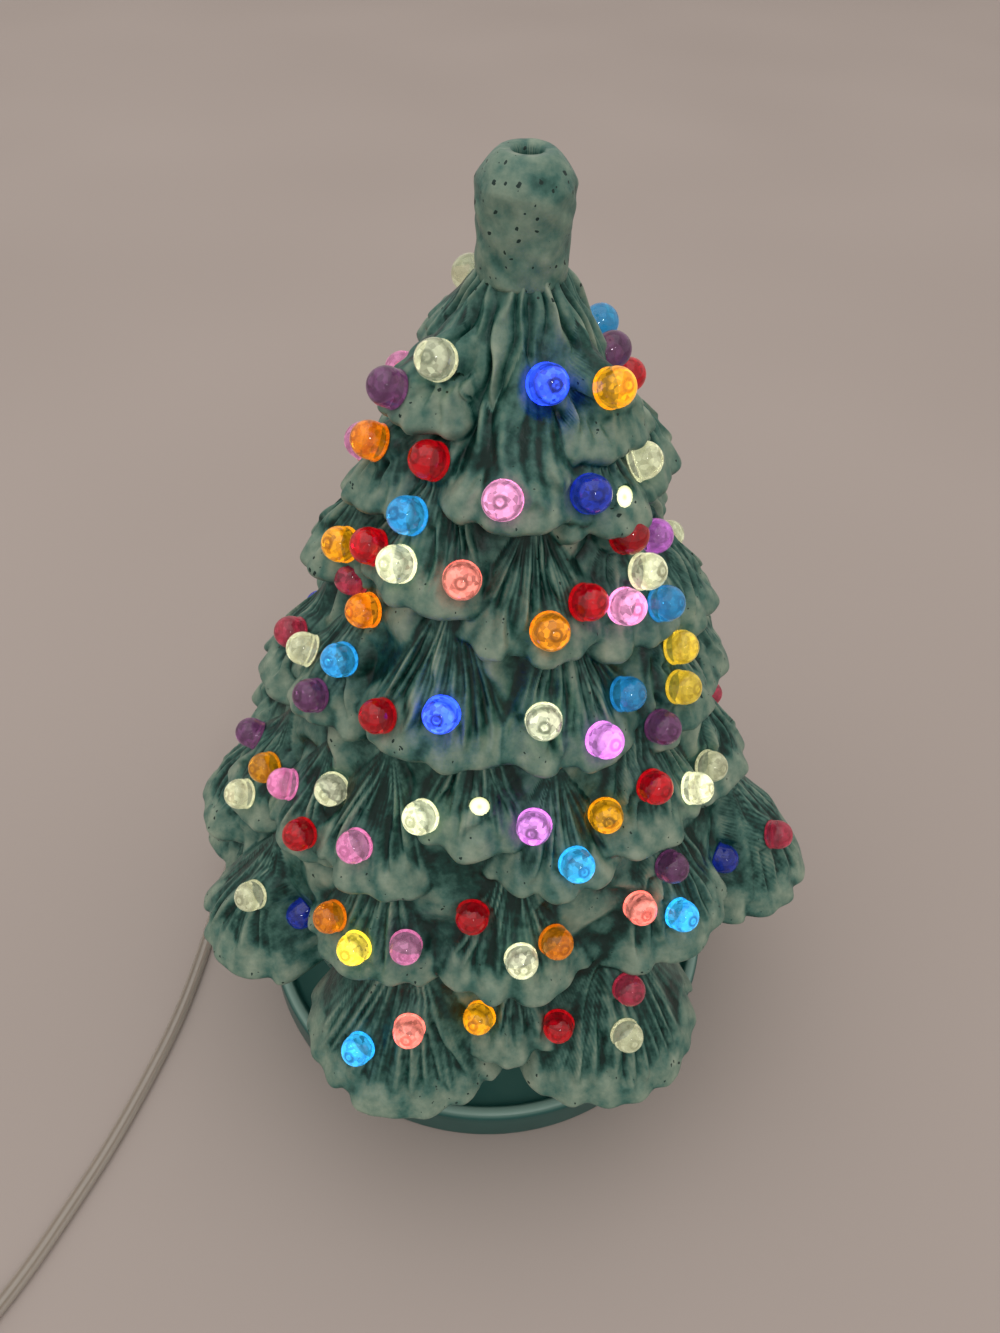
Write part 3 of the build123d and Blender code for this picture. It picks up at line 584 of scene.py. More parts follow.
def branch_field(branch, offset, rise, draw):
    """Reach and tone of one branch at each azimuth offset from its middle and each rise above its hem.

    Its ring narrows upward as a cone with needles, which run down from its peak, or on the crown from the
    stub. The lowest part is the pad of the hem, which swells in lumps, hangs down in scallops and is rounded
    off below. The third result is the share that is kept: all of it low down, less toward the peak.
    """
    hem, lobe, extra = branch[1:]
    centre = tip_radius(hem) + extra - lobe
    peak = BEAD_HEIGHT + (lobe - BEAD_CHAMFER) / BRANCH_SLOPE
    cone = (peak - rise) * BRANCH_SLOPE
    turn = ray_on_ring(offset, centre, np.clip(cone, 1.0, lobe))[1]
    down = rise / peak
    bumps = 2 * math.pi * lobe / LUMP_PITCH
    orders = [max(1, round(bumps * share)) for share in (0.4, 0.75, 1.0, 1.4)]
    lump = np.sqrt(np.clip(0.5 + waves(draw, turn, 0, orders, 0.42), 0.02, 1))
    over = rise + HEM_DROOP * (lump - 0.6)
    edge = PAD_HEIGHT + PAD_WANDER * (lump - LUMP_LEVEL) + waves(draw, turn, 0, (5, 8, 13, 21), PAD_RAGGED)
    pad = smooth_step(edge + 2.2, edge - 1.2, over)
    straight = hem > STRAIGHT_ABOVE
    flow = offset + 0 * turn if straight else turn
    ridge = needle_wave(draw, flow, down, count_round(lobe, NEEDLE_PITCH))
    fade = smooth_step(1.0, 8.0, cone) * (1 if straight else smooth_step(1.0, 0.55, np.abs(turn - offset)))
    needles = NEEDLE_HEIGHT * (ridge - NEEDLE_LEVEL) * fade * (1 - pad)
    streak = needle_wave(draw, flow, down, count_round(lobe, STREAK_PITCH))
    mottle = waves(draw, turn, 9 * down, (11, 17, 23), 0.12)
    swell = (LUMP_HEIGHT * (lump - LUMP_LEVEL) + waves(draw, turn, 4 * down, (9, 14, 19), 0.35)) * pad
    under = 1 - np.clip(over / HEM_ROUND, 0, 1)
    ring = np.minimum(cone, lobe + 0.4) + needles + swell - HEM_ROUND * (1 - np.sqrt(1 - under ** 2))
    reach = ray_on_ring(offset, centre, np.where(over > 0, ring, -1.0))[0]
    ridges = RIDGE_TONE * (ridge ** 1.3 - 0.45) * (0.35 + 0.65 * fade)
    grooves = GROOVE_TONE + ridges + STREAK_TONE * (streak - 0.42) * fade
    pale = smooth_step(edge + 5.0, edge + 0.4, over + 6 * mottle)
    hems = HEM_TONE + LUMP_TONE * (lump - 0.5) + mottle
    # The underside of each pad is painted darker: painted shade under the hem.
    tone = (1 - pale) * grooves + pale * hems - UNDERSIDE_SHADE * under * pad
    return reach, np.clip(tone, 0.02, 1.0), smooth_step(1.0, 0.35, down)


print("hem pads", PAD_HEIGHT, "mm high, needles", NEEDLE_HEIGHT, "mm")

# %% Blended skin
SKIN_COLUMNS = 960
SKIN_ROWS = 440
TRUNK_NEEDLES = 21
TRUNK_TONE = 0.06
TRUNK_RIDGE_TONE = 0.68
BLEND = 1.1
BRANCH_SPAN = 1.25
STUB_TUCK = 0.9
CREASE_SHADE = 0.7


def blended_skin(azimuth, height, draw):
    """Distance from the axis and tone as a smooth maximum: the logarithm of a sum of exponentials.

    Each branch adds the exponential of its reach past the trunk, and its tone in that share. Where no branch
    has most of the sum, two of them meet, and the crease between them is painted darker: partly glaze pooled
    there and partly painted shade.
    """
    tuck = STUB_TUCK * smooth_step(STUB_BASE - 10, STUB_BASE, height)
    trunk = trunk_radius(height) - tuck + 0 * azimuth
    ridge = needle_wave(draw, azimuth, 6 * height / TREE_HEIGHT, TRUNK_NEEDLES)
    calm = smooth_step(0, 8, height) * smooth_step(STUB_BASE + 2, STUB_BASE - 4, height)
    total = np.exp(NEEDLE_HEIGHT * (ridge - 0.5) * calm / BLEND)
    shade = total * (TRUNK_TONE + TRUNK_RIDGE_TONE * ridge)
    largest = total.copy()
    free = smooth_step(STUB_BASE - 2, STUB_BASE - 18, height)
    for branch in BRANCHES:
        offset = (azimuth[0] - math.radians(branch[0]) + math.pi) % (2 * math.pi) - math.pi
        rise = height[:, 0] - branch[1]
        peak = BEAD_HEIGHT + (branch[2] - BEAD_CHAMFER) / BRANCH_SLOPE
        block = np.ix_((rise > -HEM_DROOP - 1) & (rise < peak), np.abs(offset) < BRANCH_SPAN)
        reach, tone, keep = branch_field(branch, offset[None, block[1][0]], rise[block[0][:, 0], None], draw)
        keep = (0.3 + 0.7 * keep) * free[block[0][:, 0]]
        weight = np.exp(np.where(keep > 0, (reach - trunk[block]) * np.maximum(keep, 1e-3), -99) / BLEND)
        total[block] += weight
        largest[block] = np.maximum(largest[block], weight)
        shade[block] += weight * tone
    # The crease is painted darker, partly for glaze that pools there and partly as painted shade.
    crease = 1 - largest / total
    return trunk + BLEND * np.log(total), np.clip(shade / total - CREASE_SHADE * crease, 0, 1)


def softened(field):
    """Each value with its neighbours round the turn and along the height, in shares of 1, 2 and 1."""
    turned = (np.roll(field, 1, axis=1) + 2 * field + np.roll(field, -1, axis=1)) / 4
    padded = np.concatenate([turned[:1], turned, turned[-1:]])
    return (padded[:-2] + 2 * turned + padded[2:]) / 4


draw = np.random.default_rng(7)
skin_height = np.linspace(STUB_BASE + 1, 0, SKIN_ROWS)[:, None]
skin_azimuth = np.linspace(-math.pi, math.pi, SKIN_COLUMNS, endpoint=False)[None, :]
skin_radius, skin_tone = blended_skin(skin_azimuth, skin_height, draw)
skin_radius = softened(skin_radius)
print("skin reaches", skin_radius.max().round(1), "mm, middle tone", np.median(skin_tone).round(2))

# %% [markdown]
# ## Seats and holes
# On the real tree a bulb's flat underside rests on the clay round its hole. The holes could be cut with a
# Boolean. Moving the skin's own points into the seat's plane gives the same flat and leaves the mesh clean.
# Two holes have no bulb, and there the skin is sunk as well.

# %% Seats and holes
SEAT_FLAT = 4.4
SEAT_FADE = 7.2
SEAT_STEP = 6.0
SEAT_SINK = 0.1
SEAT_TONE = 0.38
HOLE_RADIUS = 2.7
HOLE_DEPTH = 3.0
HOLE_RISE = math.radians(32)
PLATE_DEPTH = 0.8


def outward(azimuth):
    """Level directions away from the axis at azimuths in radians: sine, minus cosine and no height."""
    return np.stack([np.sin(azimuth), -np.cos(azimuth), 0 * azimuth], axis=-1)


def plane_under(seat, azimuth, height):
    """Rows and columns near a seat, the skin's radius that lies in its plane, and how far its middle is.

    A point of the plane has the same product with the plane's axis as the seat has, which gives the radius.
    """
    place, axis = seat[:3], seat[3:]
    way = outward(azimuth[0])
    tall = height[:, 0] + SEAT_HEIGHT
    rows = np.flatnonzero(np.abs(tall - place[2]) < SEAT_FADE)
    columns = np.flatnonzero(way @ outward(np.arctan2(place[0], -place[1])) > 0.8)
    flat = (place @ axis - tall[rows, None] * axis[2]) / np.maximum(way[None, columns] @ axis, 0.05)
    point = flat[..., None] * way[None, columns]
    point[..., 2] = tall[rows, None]
    return np.ix_(rows, columns), flat, np.linalg.norm(point - place, axis=-1)


def seat_the_bulbs(radius, tone, azimuth, height):
    """Flattens the skin round each bulb to the plane of its underside, where the skin is near that plane."""
    for seat in seats:
        block, flat, far = plane_under(seat, azimuth, height)
        near = smooth_step(SEAT_FADE, SEAT_FLAT, far) * (np.abs(radius[block] - flat) < SEAT_STEP)
        radius[block] += near * (flat - SEAT_SINK - radius[block])
        tone[block] += 0.4 * near * (SEAT_TONE - tone[block])


def sink_the_holes(radius, azimuth, height):
    """Flattens the skin round each hole that has no bulb and sinks the hole; returns its middle and axis."""
    found = []
    for facing, level in EMPTY_HOLES:
        row = np.argmin(np.abs(height[:, 0] - level))
        column = np.argmin(np.abs(azimuth[0] - math.radians(facing)))
        way = outward(azimuth[0, column])
        place = radius[row, column] * way + (0, 0, height[row, 0] + SEAT_HEIGHT)
        axis = way * math.cos(HOLE_RISE) + (0, 0, math.sin(HOLE_RISE))
        block, flat, far = plane_under(np.concatenate([place, axis]), azimuth, height)
        radius[block] += smooth_step(HOLE_RADIUS + 3, HOLE_RADIUS + 0.4, far) * (flat - radius[block])
        radius[block] -= HOLE_DEPTH * smooth_step(HOLE_RADIUS + 0.4, HOLE_RADIUS - 0.3, far)
        found.append((place - PLATE_DEPTH * axis, axis))
    return found


seat_the_bulbs(skin_radius, skin_tone, skin_azimuth, skin_height)
holes = sink_the_holes(skin_radius, skin_azimuth, skin_height)
print("seats", len(seats), "empty holes", len(holes))

# %% [markdown]
# ## The glaze
# Green glaze on slip-cast earthenware runs off ridges and pools in grooves while it melts. So ridges and
# hems are a pale, satin grey-green with blotches and pinholes, and grooves are a glossy dark teal. Colours
# painted on the points could show that. Here a ramp on the number "tone" gives it, so it follows the shape.
# Noise of a few millimetres breaks it up, and small dark spots are the pinholes.

# %% Tree glaze
BLOTCH_MM = 8.0
SPECK_MM = 2.6
STIR_MM = 1.6
PINHOLE_MM = 2.6
PATCH_MM = 9.0
ORANGE_PEEL_MM = 1.8


def tree_glaze():
    """Mottled green glaze on earthenware, satin where it is thin and glossy where it has pooled.

    The level is the tone plus blotches and specks. A pinhole is where the distance to a cell's middle is
    less than a reach that grows in patches.
    """
    material, tree, shader = finish_of("green_glazed_earthenware", Specular_IOR_Level=0.28)
    place = add(tree, "TexCoord").outputs["Object"]
    tone = add(tree, "Attribute", {"attribute_name": "tone"}).outputs["Fac"]
    blotch = add(tree, "TexNoise", Vector=place, Scale=per_metre(BLOTCH_MM), Detail=5.0, Roughness=0.62)
    mixed = add(tree, "Math", {"operation": "MULTIPLY_ADD"}, _0=blotch.outputs["Fac"], _1=0.9, _2=-0.45)
    cloudy = add(tree, "Math", {"operation": "ADD"}, _0=tone, _1=mixed.outputs[0])
    fine = add(tree, "TexNoise", Vector=place, Scale=per_metre(SPECK_MM), Detail=3.0, Roughness=0.55)
    speck = add(tree, "Math", {"operation": "SUBTRACT"}, _0=fine.outputs["Fac"], _1=0.5)
    level = add(tree, "Math", {"operation": "MULTIPLY_ADD", "use_clamp": True}, _0=speck.outputs[0], _1=0.55,
                _2=cloudy.outputs[0]).outputs[0]
    green = add(tree, "ValToRGB", stops=[(0.03, "#052621"), (0.20, "#15433c"), (0.42, "#416c62"),
                                         (0.66, "#6b8677"), (1.0, "#91a28f")], Fac=level)
    stir = add(tree, "TexNoise", Vector=place, Scale=per_metre(STIR_MM), Detail=1.0)
    stirred = add(tree, "VectorMath", {"operation": "MULTIPLY_ADD"}, _0=stir.outputs["Color"],
                  _1=(STIR_MM * MM,) * 3, _2=place)
    cells = add(tree, "TexVoronoi", Vector=stirred.outputs[0], Scale=per_metre(PINHOLE_MM))
    patch = add(tree, "TexNoise", Vector=place, Scale=per_metre(PATCH_MM), Detail=2.0, Roughness=0.55)
    pits = add(tree, "Attribute", {"attribute_name": "pits"}).outputs["Fac"]
    chance = add(tree, "Math", {"operation": "ADD"}, _0=patch.outputs["Fac"], _1=pits)
    reach = add(tree, "MapRange", Value=chance.outputs[0], From_Min=0.5, From_Max=0.8, To_Min=0.0,
                To_Max=0.26)
    spot = add(tree, "Math", {"operation": "LESS_THAN"}, _0=cells.outputs["Distance"], _1=reach.outputs[0])
    spotted = add(tree, "Mix", {"data_type": "RGBA"}, _0=spot.outputs[0], _6=green.outputs["Color"],
                  _7=linear("#16302b"))
    tree.links.new(spotted.outputs[2], shader.inputs["Base Color"])
    gloss = add(tree, "MapRange", Value=level, From_Min=0.1, From_Max=0.8, To_Min=0.34, To_Max=0.44)
    tree.links.new(gloss.outputs[0], shader.inputs["Roughness"])
    peel = add(tree, "TexNoise", Vector=place, Scale=per_metre(ORANGE_PEEL_MM), Detail=4.0, Roughness=0.55)
    bump = add(tree, "Bump", Height=peel.outputs["Fac"], Strength=0.45, Distance=0.6 * MM)
    tree.links.new(bump.outputs["Normal"], shader.inputs["Normal"])
    return material


glaze = tree_glaze()
print(glaze.name, "nodes", len(glaze.node_tree.nodes))

# %% Casting pieces
SKIN_BANDS = 6
HEM_PITS = 0.10
SHARP_EDGE = math.radians(65)

skin = skin_radius[..., None] * outward(skin_azimuth[0])[None]
skin[..., 2] = skin_height + SEAT_HEIGHT
breaks = np.linspace(0, SKIN_ROWS - 1, SKIN_BANDS + 1).astype(int)
for band, (first, last) in enumerate(zip(breaks, breaks[1:])):
    tones = skin_tone[first:last + 1]
    piece = make_piece(f"branches_{band + 1}", [skin[first:last + 1]], "tree", glaze, "tree_glaze",
                       ["tree_shell"], closed=False, tone=[tones],
                       pits=[HEM_PITS * smooth_step(0.5, 0.7, tones)])
    piece.data.set_sharp_from_angle(angle=SHARP_EDGE)

# %% [markdown]
# ## Empty holes
# Two holes have lost their bulbs. Through each one the wall inside shows, lit by the lamp, as a small bright
# round spot. A lamp behind a cut hole could do it. A plate of rings across the hole, just under the glaze,
# looks the same from all sides and needs no light of its own.

# %% Lit holes
PLATE_COLUMNS = 20
PLATE_RINGS = 4


def hole_plates(found):
    """Rings of growing radius across each hole's axis; also the share of the hole's radius of each ring."""
    share = np.linspace(0, 1, PLATE_RINGS)
    turn = np.linspace(0, 2 * math.pi, PLATE_COLUMNS, endpoint=False)
    plates = []
    for place, axis in found:
        across = np.cross(axis, (0.0, 0, 1))
        across /= np.linalg.norm(across)
        ring = np.cos(turn)[:, None] * across + np.sin(turn)[:, None] * np.cross(axis, across)
        plates.append(place + (HOLE_RADIUS + 0.1) * share[:, None, None] * ring)
    return plates, np.broadcast_to(share[:, None], (len(share), PLATE_COLUMNS))


def lamplight():
    """Unglazed white earthenware inside the tree, lit warm white: brightest in the middle of the hole."""
    material, tree, shader = finish_of("lit_bare_earthenware", Roughness=0.8, Emission_Strength=0.9)
    share = add(tree, "Attribute", {"attribute_name": "share"}).outputs["Fac"]
    warm = add(tree, "ValToRGB", stops=[(0.0, "#ffe98a"), (0.45, "#fffbe0"), (0.8, "#f4f3c4"),
                                        (1.0, "#b9c48e")], Fac=share).outputs["Color"]
    tree.links.new(warm, shader.inputs["Base Color"])
    tree.links.new(warm, shader.inputs["Emission Color"])
    return material


plates, plate_share = hole_plates(holes)
make_piece("lit_holes", plates, "tree", lamplight(), "tree_glaze", ["tree_shell"],
           share=[plate_share] * len(plates))

# %% [markdown]
# ## Stub, foot and inside
# On top stands the stub that takes a star: a short thick pipe with pits in its glaze. Stub, foot and the
# wall inside could be three pieces. They are one closed outline, turned round the tree's axis, so the
# casting stays hollow when it is lifted off and seen from below. Between stub and foot the outline runs
# inside the skin.

# %% Stub and inside
STUB_COLUMNS = 180
SHOULDER_HEIGHT = 7.0
SHOULDER_WIDTH = 5.4
SHOULDER_POWER = 1.5
SKIN_COVER = 3.0
STUB_FLARE = 0.7
STUB_TONE = 0.58
INSIDE_TONE = 0.35
STUB_PITS = 0.17


def stub_surface(draw):
    """A closed outline turned once round: stub, down inside the skin to the foot, up the inside, out again.

    Each point is its radius times the outward direction, at its height. What shows gets a chance wobble.
    """
    top = TREE_HEIGHT
    rounding = np.linspace(0, math.pi / 2, 8)
    crest = [(STAR_HOLE, top - 1.2), (STAR_HOLE + 0.7, top - 0.2)]
    crest += [(STUB_RADIUS - SHOULDER_WIDTH * (1 - math.sin(t) ** SHOULDER_POWER),
               top - SHOULDER_HEIGHT * (1 - max(math.cos(t), 0) ** SHOULDER_POWER)) for t in rounding]
    stub = [(STUB_RADIUS, h) for h in np.linspace(top - SHOULDER_HEIGHT - 0.8, STUB_BASE - 0.6, 28)]
    lip = [(STUB_RADIUS - 0.6, STUB_BASE - 1.4), (STUB_RADIUS - 2.5, STUB_BASE - 1.6)]
    buried = [(float(trunk_radius(h)) - SKIN_COVER, h) for h in np.linspace(STUB_BASE - STUB_ROOT, 6.0, 12)]
    foot = [(FOOT_RADIUS - 0.4, 1.0), (FOOT_RADIUS - 1.0, 0.0), (FOOT_RADIUS - TREE_WALL + 0.6, 0.0)]
    inside = [(float(trunk_radius(h)) - TREE_WALL, h) for h in np.linspace(1.0, STUB_BASE - STUB_ROOT, 40)]
    inside += [(STUB_RADIUS - STUB_WALL, STUB_BASE), (STUB_RADIUS - STUB_WALL, top - STUB_WALL)]
    inside += [(STAR_HOLE, top - STUB_WALL), crest[0]]
    outline = np.array(crest + stub + lip + buried + foot + inside)
    turn = np.linspace(-math.pi, math.pi, STUB_COLUMNS, endpoint=False)[None, :]
    radius, height = outline[:, :1], outline[:, 1:]
    row = np.arange(len(outline))[:, None]
    shown = ((row > 1) & (row < len(crest) + len(stub) + len(lip) - 1)) * np.clip(row / len(crest), 0.2, 1)
    level = height / TREE_HEIGHT
    rough = (waves(draw, turn, 60 * level, (2, 3, 5), 0.26) + waves(draw, turn, 130 * level, (4, 7, 9), 0.15)
             + waves(draw, turn, 250 * level, (6, 11, 13, 17), 0.07))
    flare = STUB_FLARE * smooth_step(STUB_BASE + 4, TREE_HEIGHT - 4, height) - 0.5
    wide = radius + (rough + flare) * shown
    points = wide[..., None] * outward(turn[0])[None]
    points[..., 2] = height + SEAT_HEIGHT + 0.5 * rough * shown
    tone = np.where(row < len(crest) + len(stub) + len(lip), STUB_TONE + 0.35 * rough, INSIDE_TONE)
    return points, np.clip(tone + 0 * turn, 0, 1)


stub, stub_tone = stub_surface(draw)
make_piece("stub_and_inside", [stub], "tree", glaze, "tree_glaze", ["tree_shell"], tone=[stub_tone],
           pits=[np.full(stub_tone.shape, STUB_PITS)])

# %% [markdown]
# ## The base
# The base is a round dish in the same glaze, darker and glossier, with a painted highlight along the rim and
# painted light on its deck, which lies in the tree's shadow. A Screw modifier could turn its outline. A grid
# of points turns it here, because each point then can carry the number "edge", which holds that painted
# light, and the foot can be raised where the cord leaves through its notch.

# %% Base outline
BASE_RADIUS = 90.0
BASE_WALL = 5.0
RIM_HEIGHT = 17.0
RIM_WIDTH = 5.0
RIM_HIGHLIGHT_SPREAD = 0.9
DECK_HEIGHT = 12.0
DECK_COVE = 8.0
DECK_PAINTED_LIGHT = 0.32
NECK_RADIUS = 62.0
NECK_HEIGHT = 36.0
SEAT_RADIUS = 77.0
COLLAR_RADIUS = FOOT_RADIUS - TREE_WALL - 0.8
BASE_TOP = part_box("base")[1].z / MM
PLATE = 5.5
SOCKET_HOLE = 12.5
NOTCH_WIDTH = 7.0
NOTCH_HEIGHT = 6.0
BASE_COLUMNS = 360


def arc(middle, size, start, stop, count=7):
    """Points on a quarter of a circle in the outline's plane, angles in degrees."""
    turn = np.radians(np.linspace(start, stop, count))
    return [(middle[0] + size * math.cos(t), middle[1] + size * math.sin(t)) for t in turn]


def base_surface():
    """A closed outline turned once round: collar, seat, neck, cove, deck, rim, foot, then up the inside.

    The edge number is painted light: a bell curve of the height about the rim's top, a painted highlight,
    and a lower value on the deck, painted light where it lies in the tree's shadow.
    """
    rim_in = BASE_RADIUS - RIM_WIDTH
    neck_in = NECK_RADIUS - BASE_WALL
    collar_in = COLLAR_RADIUS - BASE_WALL
    outline = [(SOCKET_HOLE, BASE_TOP)]
    outline += arc((COLLAR_RADIUS - 1, BASE_TOP - 1), 1, 90, 0, 4) + [(COLLAR_RADIUS, SEAT_HEIGHT)]
    outline += arc((SEAT_RADIUS - 1, SEAT_HEIGHT - 1), 1, 90, 0, 4)
    outline += [(SEAT_RADIUS - 0.2, SEAT_HEIGHT - 2.2), (NECK_RADIUS, NECK_HEIGHT)]
    outline += arc((NECK_RADIUS + DECK_COVE, DECK_HEIGHT + DECK_COVE), DECK_COVE, 180, 270, 9)
    outline += arc((rim_in - 2.5, DECK_HEIGHT + 2.0), 2.0, 270, 350, 6)
    outline += arc((BASE_RADIUS - RIM_WIDTH / 2, RIM_HEIGHT - RIM_WIDTH / 2), RIM_WIDTH / 2, 180, 0, 13)
    outline += [(BASE_RADIUS, h) for h in (12.0, 9.0, 7.5, 6.4, 5.2, 4.0, 2.6)]
    outline += arc((BASE_RADIUS - 1.8, 1.8), 1.8, 0, -90, 5)
    outline += arc((BASE_RADIUS - BASE_WALL + 1, 1), 1, 270, 180, 4)
    outline += [(BASE_RADIUS - BASE_WALL, h) for h in (2.6, 4.0, 5.2, 6.4)]
    ceiling = DECK_HEIGHT - BASE_WALL
    outline += [(BASE_RADIUS - BASE_WALL - 0.6, ceiling), (neck_in + DECK_COVE, ceiling),
                (neck_in, ceiling + DECK_COVE), (neck_in, NECK_HEIGHT),
                (collar_in, NECK_HEIGHT + COLLAR_RADIUS - NECK_RADIUS), (collar_in, BASE_TOP - PLATE),
                (SOCKET_HOLE, BASE_TOP - PLATE), (SOCKET_HOLE, BASE_TOP)]
    outline = np.array(outline)
    turn = np.linspace(-math.pi, math.pi, BASE_COLUMNS, endpoint=False)[None, :]
    radius, height = outline[:, :1] + 0 * turn, outline[:, 1:] + 0 * turn
    aside = np.abs(np.sin(turn - NOTCH_AZIMUTH)) * BASE_RADIUS
    arch = np.where((aside < NOTCH_WIDTH / 2) & (np.cos(turn - NOTCH_AZIMUTH) > 0), NOTCH_HEIGHT, 0)
    rim = radius > rim_in - 1.5
    height = np.where(rim, np.maximum(height, arch), height)
    points = np.stack([radius * np.sin(turn), -radius * np.cos(turn), height], axis=-1)
    # Painted light: a highlight along the rim's top, and a lighter deck where it lies in the tree's shadow.
    bright = np.exp(-((height - RIM_HEIGHT) / RIM_HIGHLIGHT_SPREAD) ** 2) * (radius > rim_in - 1)
    bright = np.maximum(bright, DECK_PAINTED_LIGHT * smooth_step(rim_in, rim_in - 4, radius))
    return points, bright


dish, dish_painted_light = base_surface()
print("base outline", len(dish), "points, top at", round(BASE_TOP, 1), "mm")

# %% Base piece
CLOUD_MM = 14.0
RIPPLE_MM = 22.0


def base_glaze():
    """Thick dark teal glaze on earthenware, glossy, with painted light: a little paler on the deck and a
    painted highlight on the rim.
    """
    material, tree, shader = finish_of("dark_teal_glazed_earthenware", Roughness=0.3, Specular_IOR_Level=0.3)
    place = add(tree, "TexCoord").outputs["Object"]
    # The edge number is painted light: the rim's highlight and the lighter deck.
    edge = add(tree, "Attribute", {"attribute_name": "edge"}).outputs["Fac"]
    cloud = add(tree, "TexNoise", Vector=place, Scale=per_metre(CLOUD_MM), Detail=3.0, Roughness=0.55)
    level = add(tree, "Math", {"operation": "MULTIPLY_ADD"}, _0=cloud.outputs["Fac"], _1=0.22, _2=edge)
    teal = add(tree, "ValToRGB", stops=[(0.0, "#1d4a46"), (0.22, "#2a5d58"), (0.75, "#5f847b"),
                                        (1.0, "#86a79d")], Fac=level.outputs[0])
    tree.links.new(teal.outputs["Color"], shader.inputs["Base Color"])
    ripple = add(tree, "TexNoise", Vector=place, Scale=per_metre(RIPPLE_MM), Detail=1.0, Roughness=0.55)
    bump = add(tree, "Bump", Height=ripple.outputs["Fac"], Strength=0.25, Distance=0.6 * MM)
    tree.links.new(bump.outputs["Normal"], shader.inputs["Normal"])
    return material


make_piece("glazed_base", [dish], "base", base_glaze(), "base_glaze", ["base"], edge=[dish_painted_light])

# %% [markdown]
# ## The bulbs
# A bulb is one moulded piece of clear tinted plastic: a dome with a sharp rim on a pin that leads light from
# the lamp up into it. One bulb could be copied as linked objects. Here its outline is turned round each
# seat's axis in one go, so each colour stays one piece. A number called "glow" goes with each bulb, because
# those in line with the lamp shine and the others only take up daylight.

# %% Bulb shape
PIN_LENGTH = 10.0
BULB_COLUMNS = 28


def bulb_outline():
    """From the pin's end up its side, out under the flat, round the sharp rim and over the dome."""
    dome = np.radians(np.linspace(0, 90, 9))
    drum = BULB_HEIGHT - BULB_RADIUS
    pin = [(0, -PIN_LENGTH), (2.0, -PIN_LENGTH), (2.3, -0.6), (2.5, 0.0)]
    rim = [(4.6, 0.0), (BULB_RADIUS + 0.12, 0.35), (BULB_RADIUS - 0.12, 0.8)]
    globe = [(BULB_RADIUS * math.cos(t), drum + BULB_RADIUS * math.sin(t)) for t in dome]
    return np.array(pin + rim + globe)


def seat_axes(axis):
    """Two directions across each bulb's axis."""
    first = np.cross(axis, (0.0, 0, 1))
    first /= np.linalg.norm(first, axis=1)[:, None]
    return first, np.cross(axis, first)


def bulb_surfaces(places):
    """Bulbs of one colour: the outline's radius goes round across the axis and its height goes along it."""
    outline = bulb_outline()[::-1]
    turn = np.linspace(0, 2 * math.pi, BULB_COLUMNS, endpoint=False)
    across, beside = seat_axes(places[:, 3:])
    ring = np.cos(turn)[:, None] * across[:, None] + np.sin(turn)[:, None] * beside[:, None]
    shapes = (places[:, None, None, :3] + outline[None, :, None, :1] * ring[:, None]
              + outline[None, :, None, 1:] * places[:, None, None, 3:])
    return shapes, np.broadcast_to(outline[:, :1] / BULB_RADIUS, shapes.shape[1:3])


print("bulb outline", len(bulb_outline()), "points")

# %% Bulb glow
# Azimuth, height and brightness of the bulbs that shine
BRIGHT_SPOTS = [(20, 214, 3.0), (-2, 195, 1), (-14, 173, 1), (13, 165, 0.9), (-14, 141, 5.0), (12, 140, 1),
                (26, 134, 1), (-16, 108, 1), (10, 109, 1), (18, 100, 1), (51, 103, 0.8), (-25, 64, 1),
                (-21, 29, 1), (-13, 39, 1), (39, 164, 1), (34, 72, 1), (41, 68, 1), (7, 70, 0.8),
                (0, 36, 0.9), (48, 214, 0.9), (28, 106, 0.8), (-50, 151, 0.7), (-63, 166, 0.7),
                (-34, 174, 0.8), (-36, 184, 0.5), (-49, 139, 0.5), (-44, 218, 0.45), (48, 170, 0.6),
                (60, 193, 0.4), (-43, 99, 0.5)]
SPOT_AZIMUTH = 5
SPOT_HEIGHT = 4
LOW_GLOW = (0.16, 0.42)
FACET_MM = 1.25


def glow_of(places, draw):
    """How brightly each bulb shines: the value of the bright spot it sits at, else a low chance value."""
    azimuth = np.degrees(np.arctan2(places[:, 0], -places[:, 1]))
    height = places[:, 2] - SEAT_HEIGHT
    low = draw.uniform(*LOW_GLOW, len(places))
    for spot_azimuth, spot_height, power in BRIGHT_SPOTS:
        near = (np.abs(azimuth - spot_azimuth) < SPOT_AZIMUTH) & (np.abs(height - spot_height) < SPOT_HEIGHT)
        low = np.where(near, power, low)
    return low


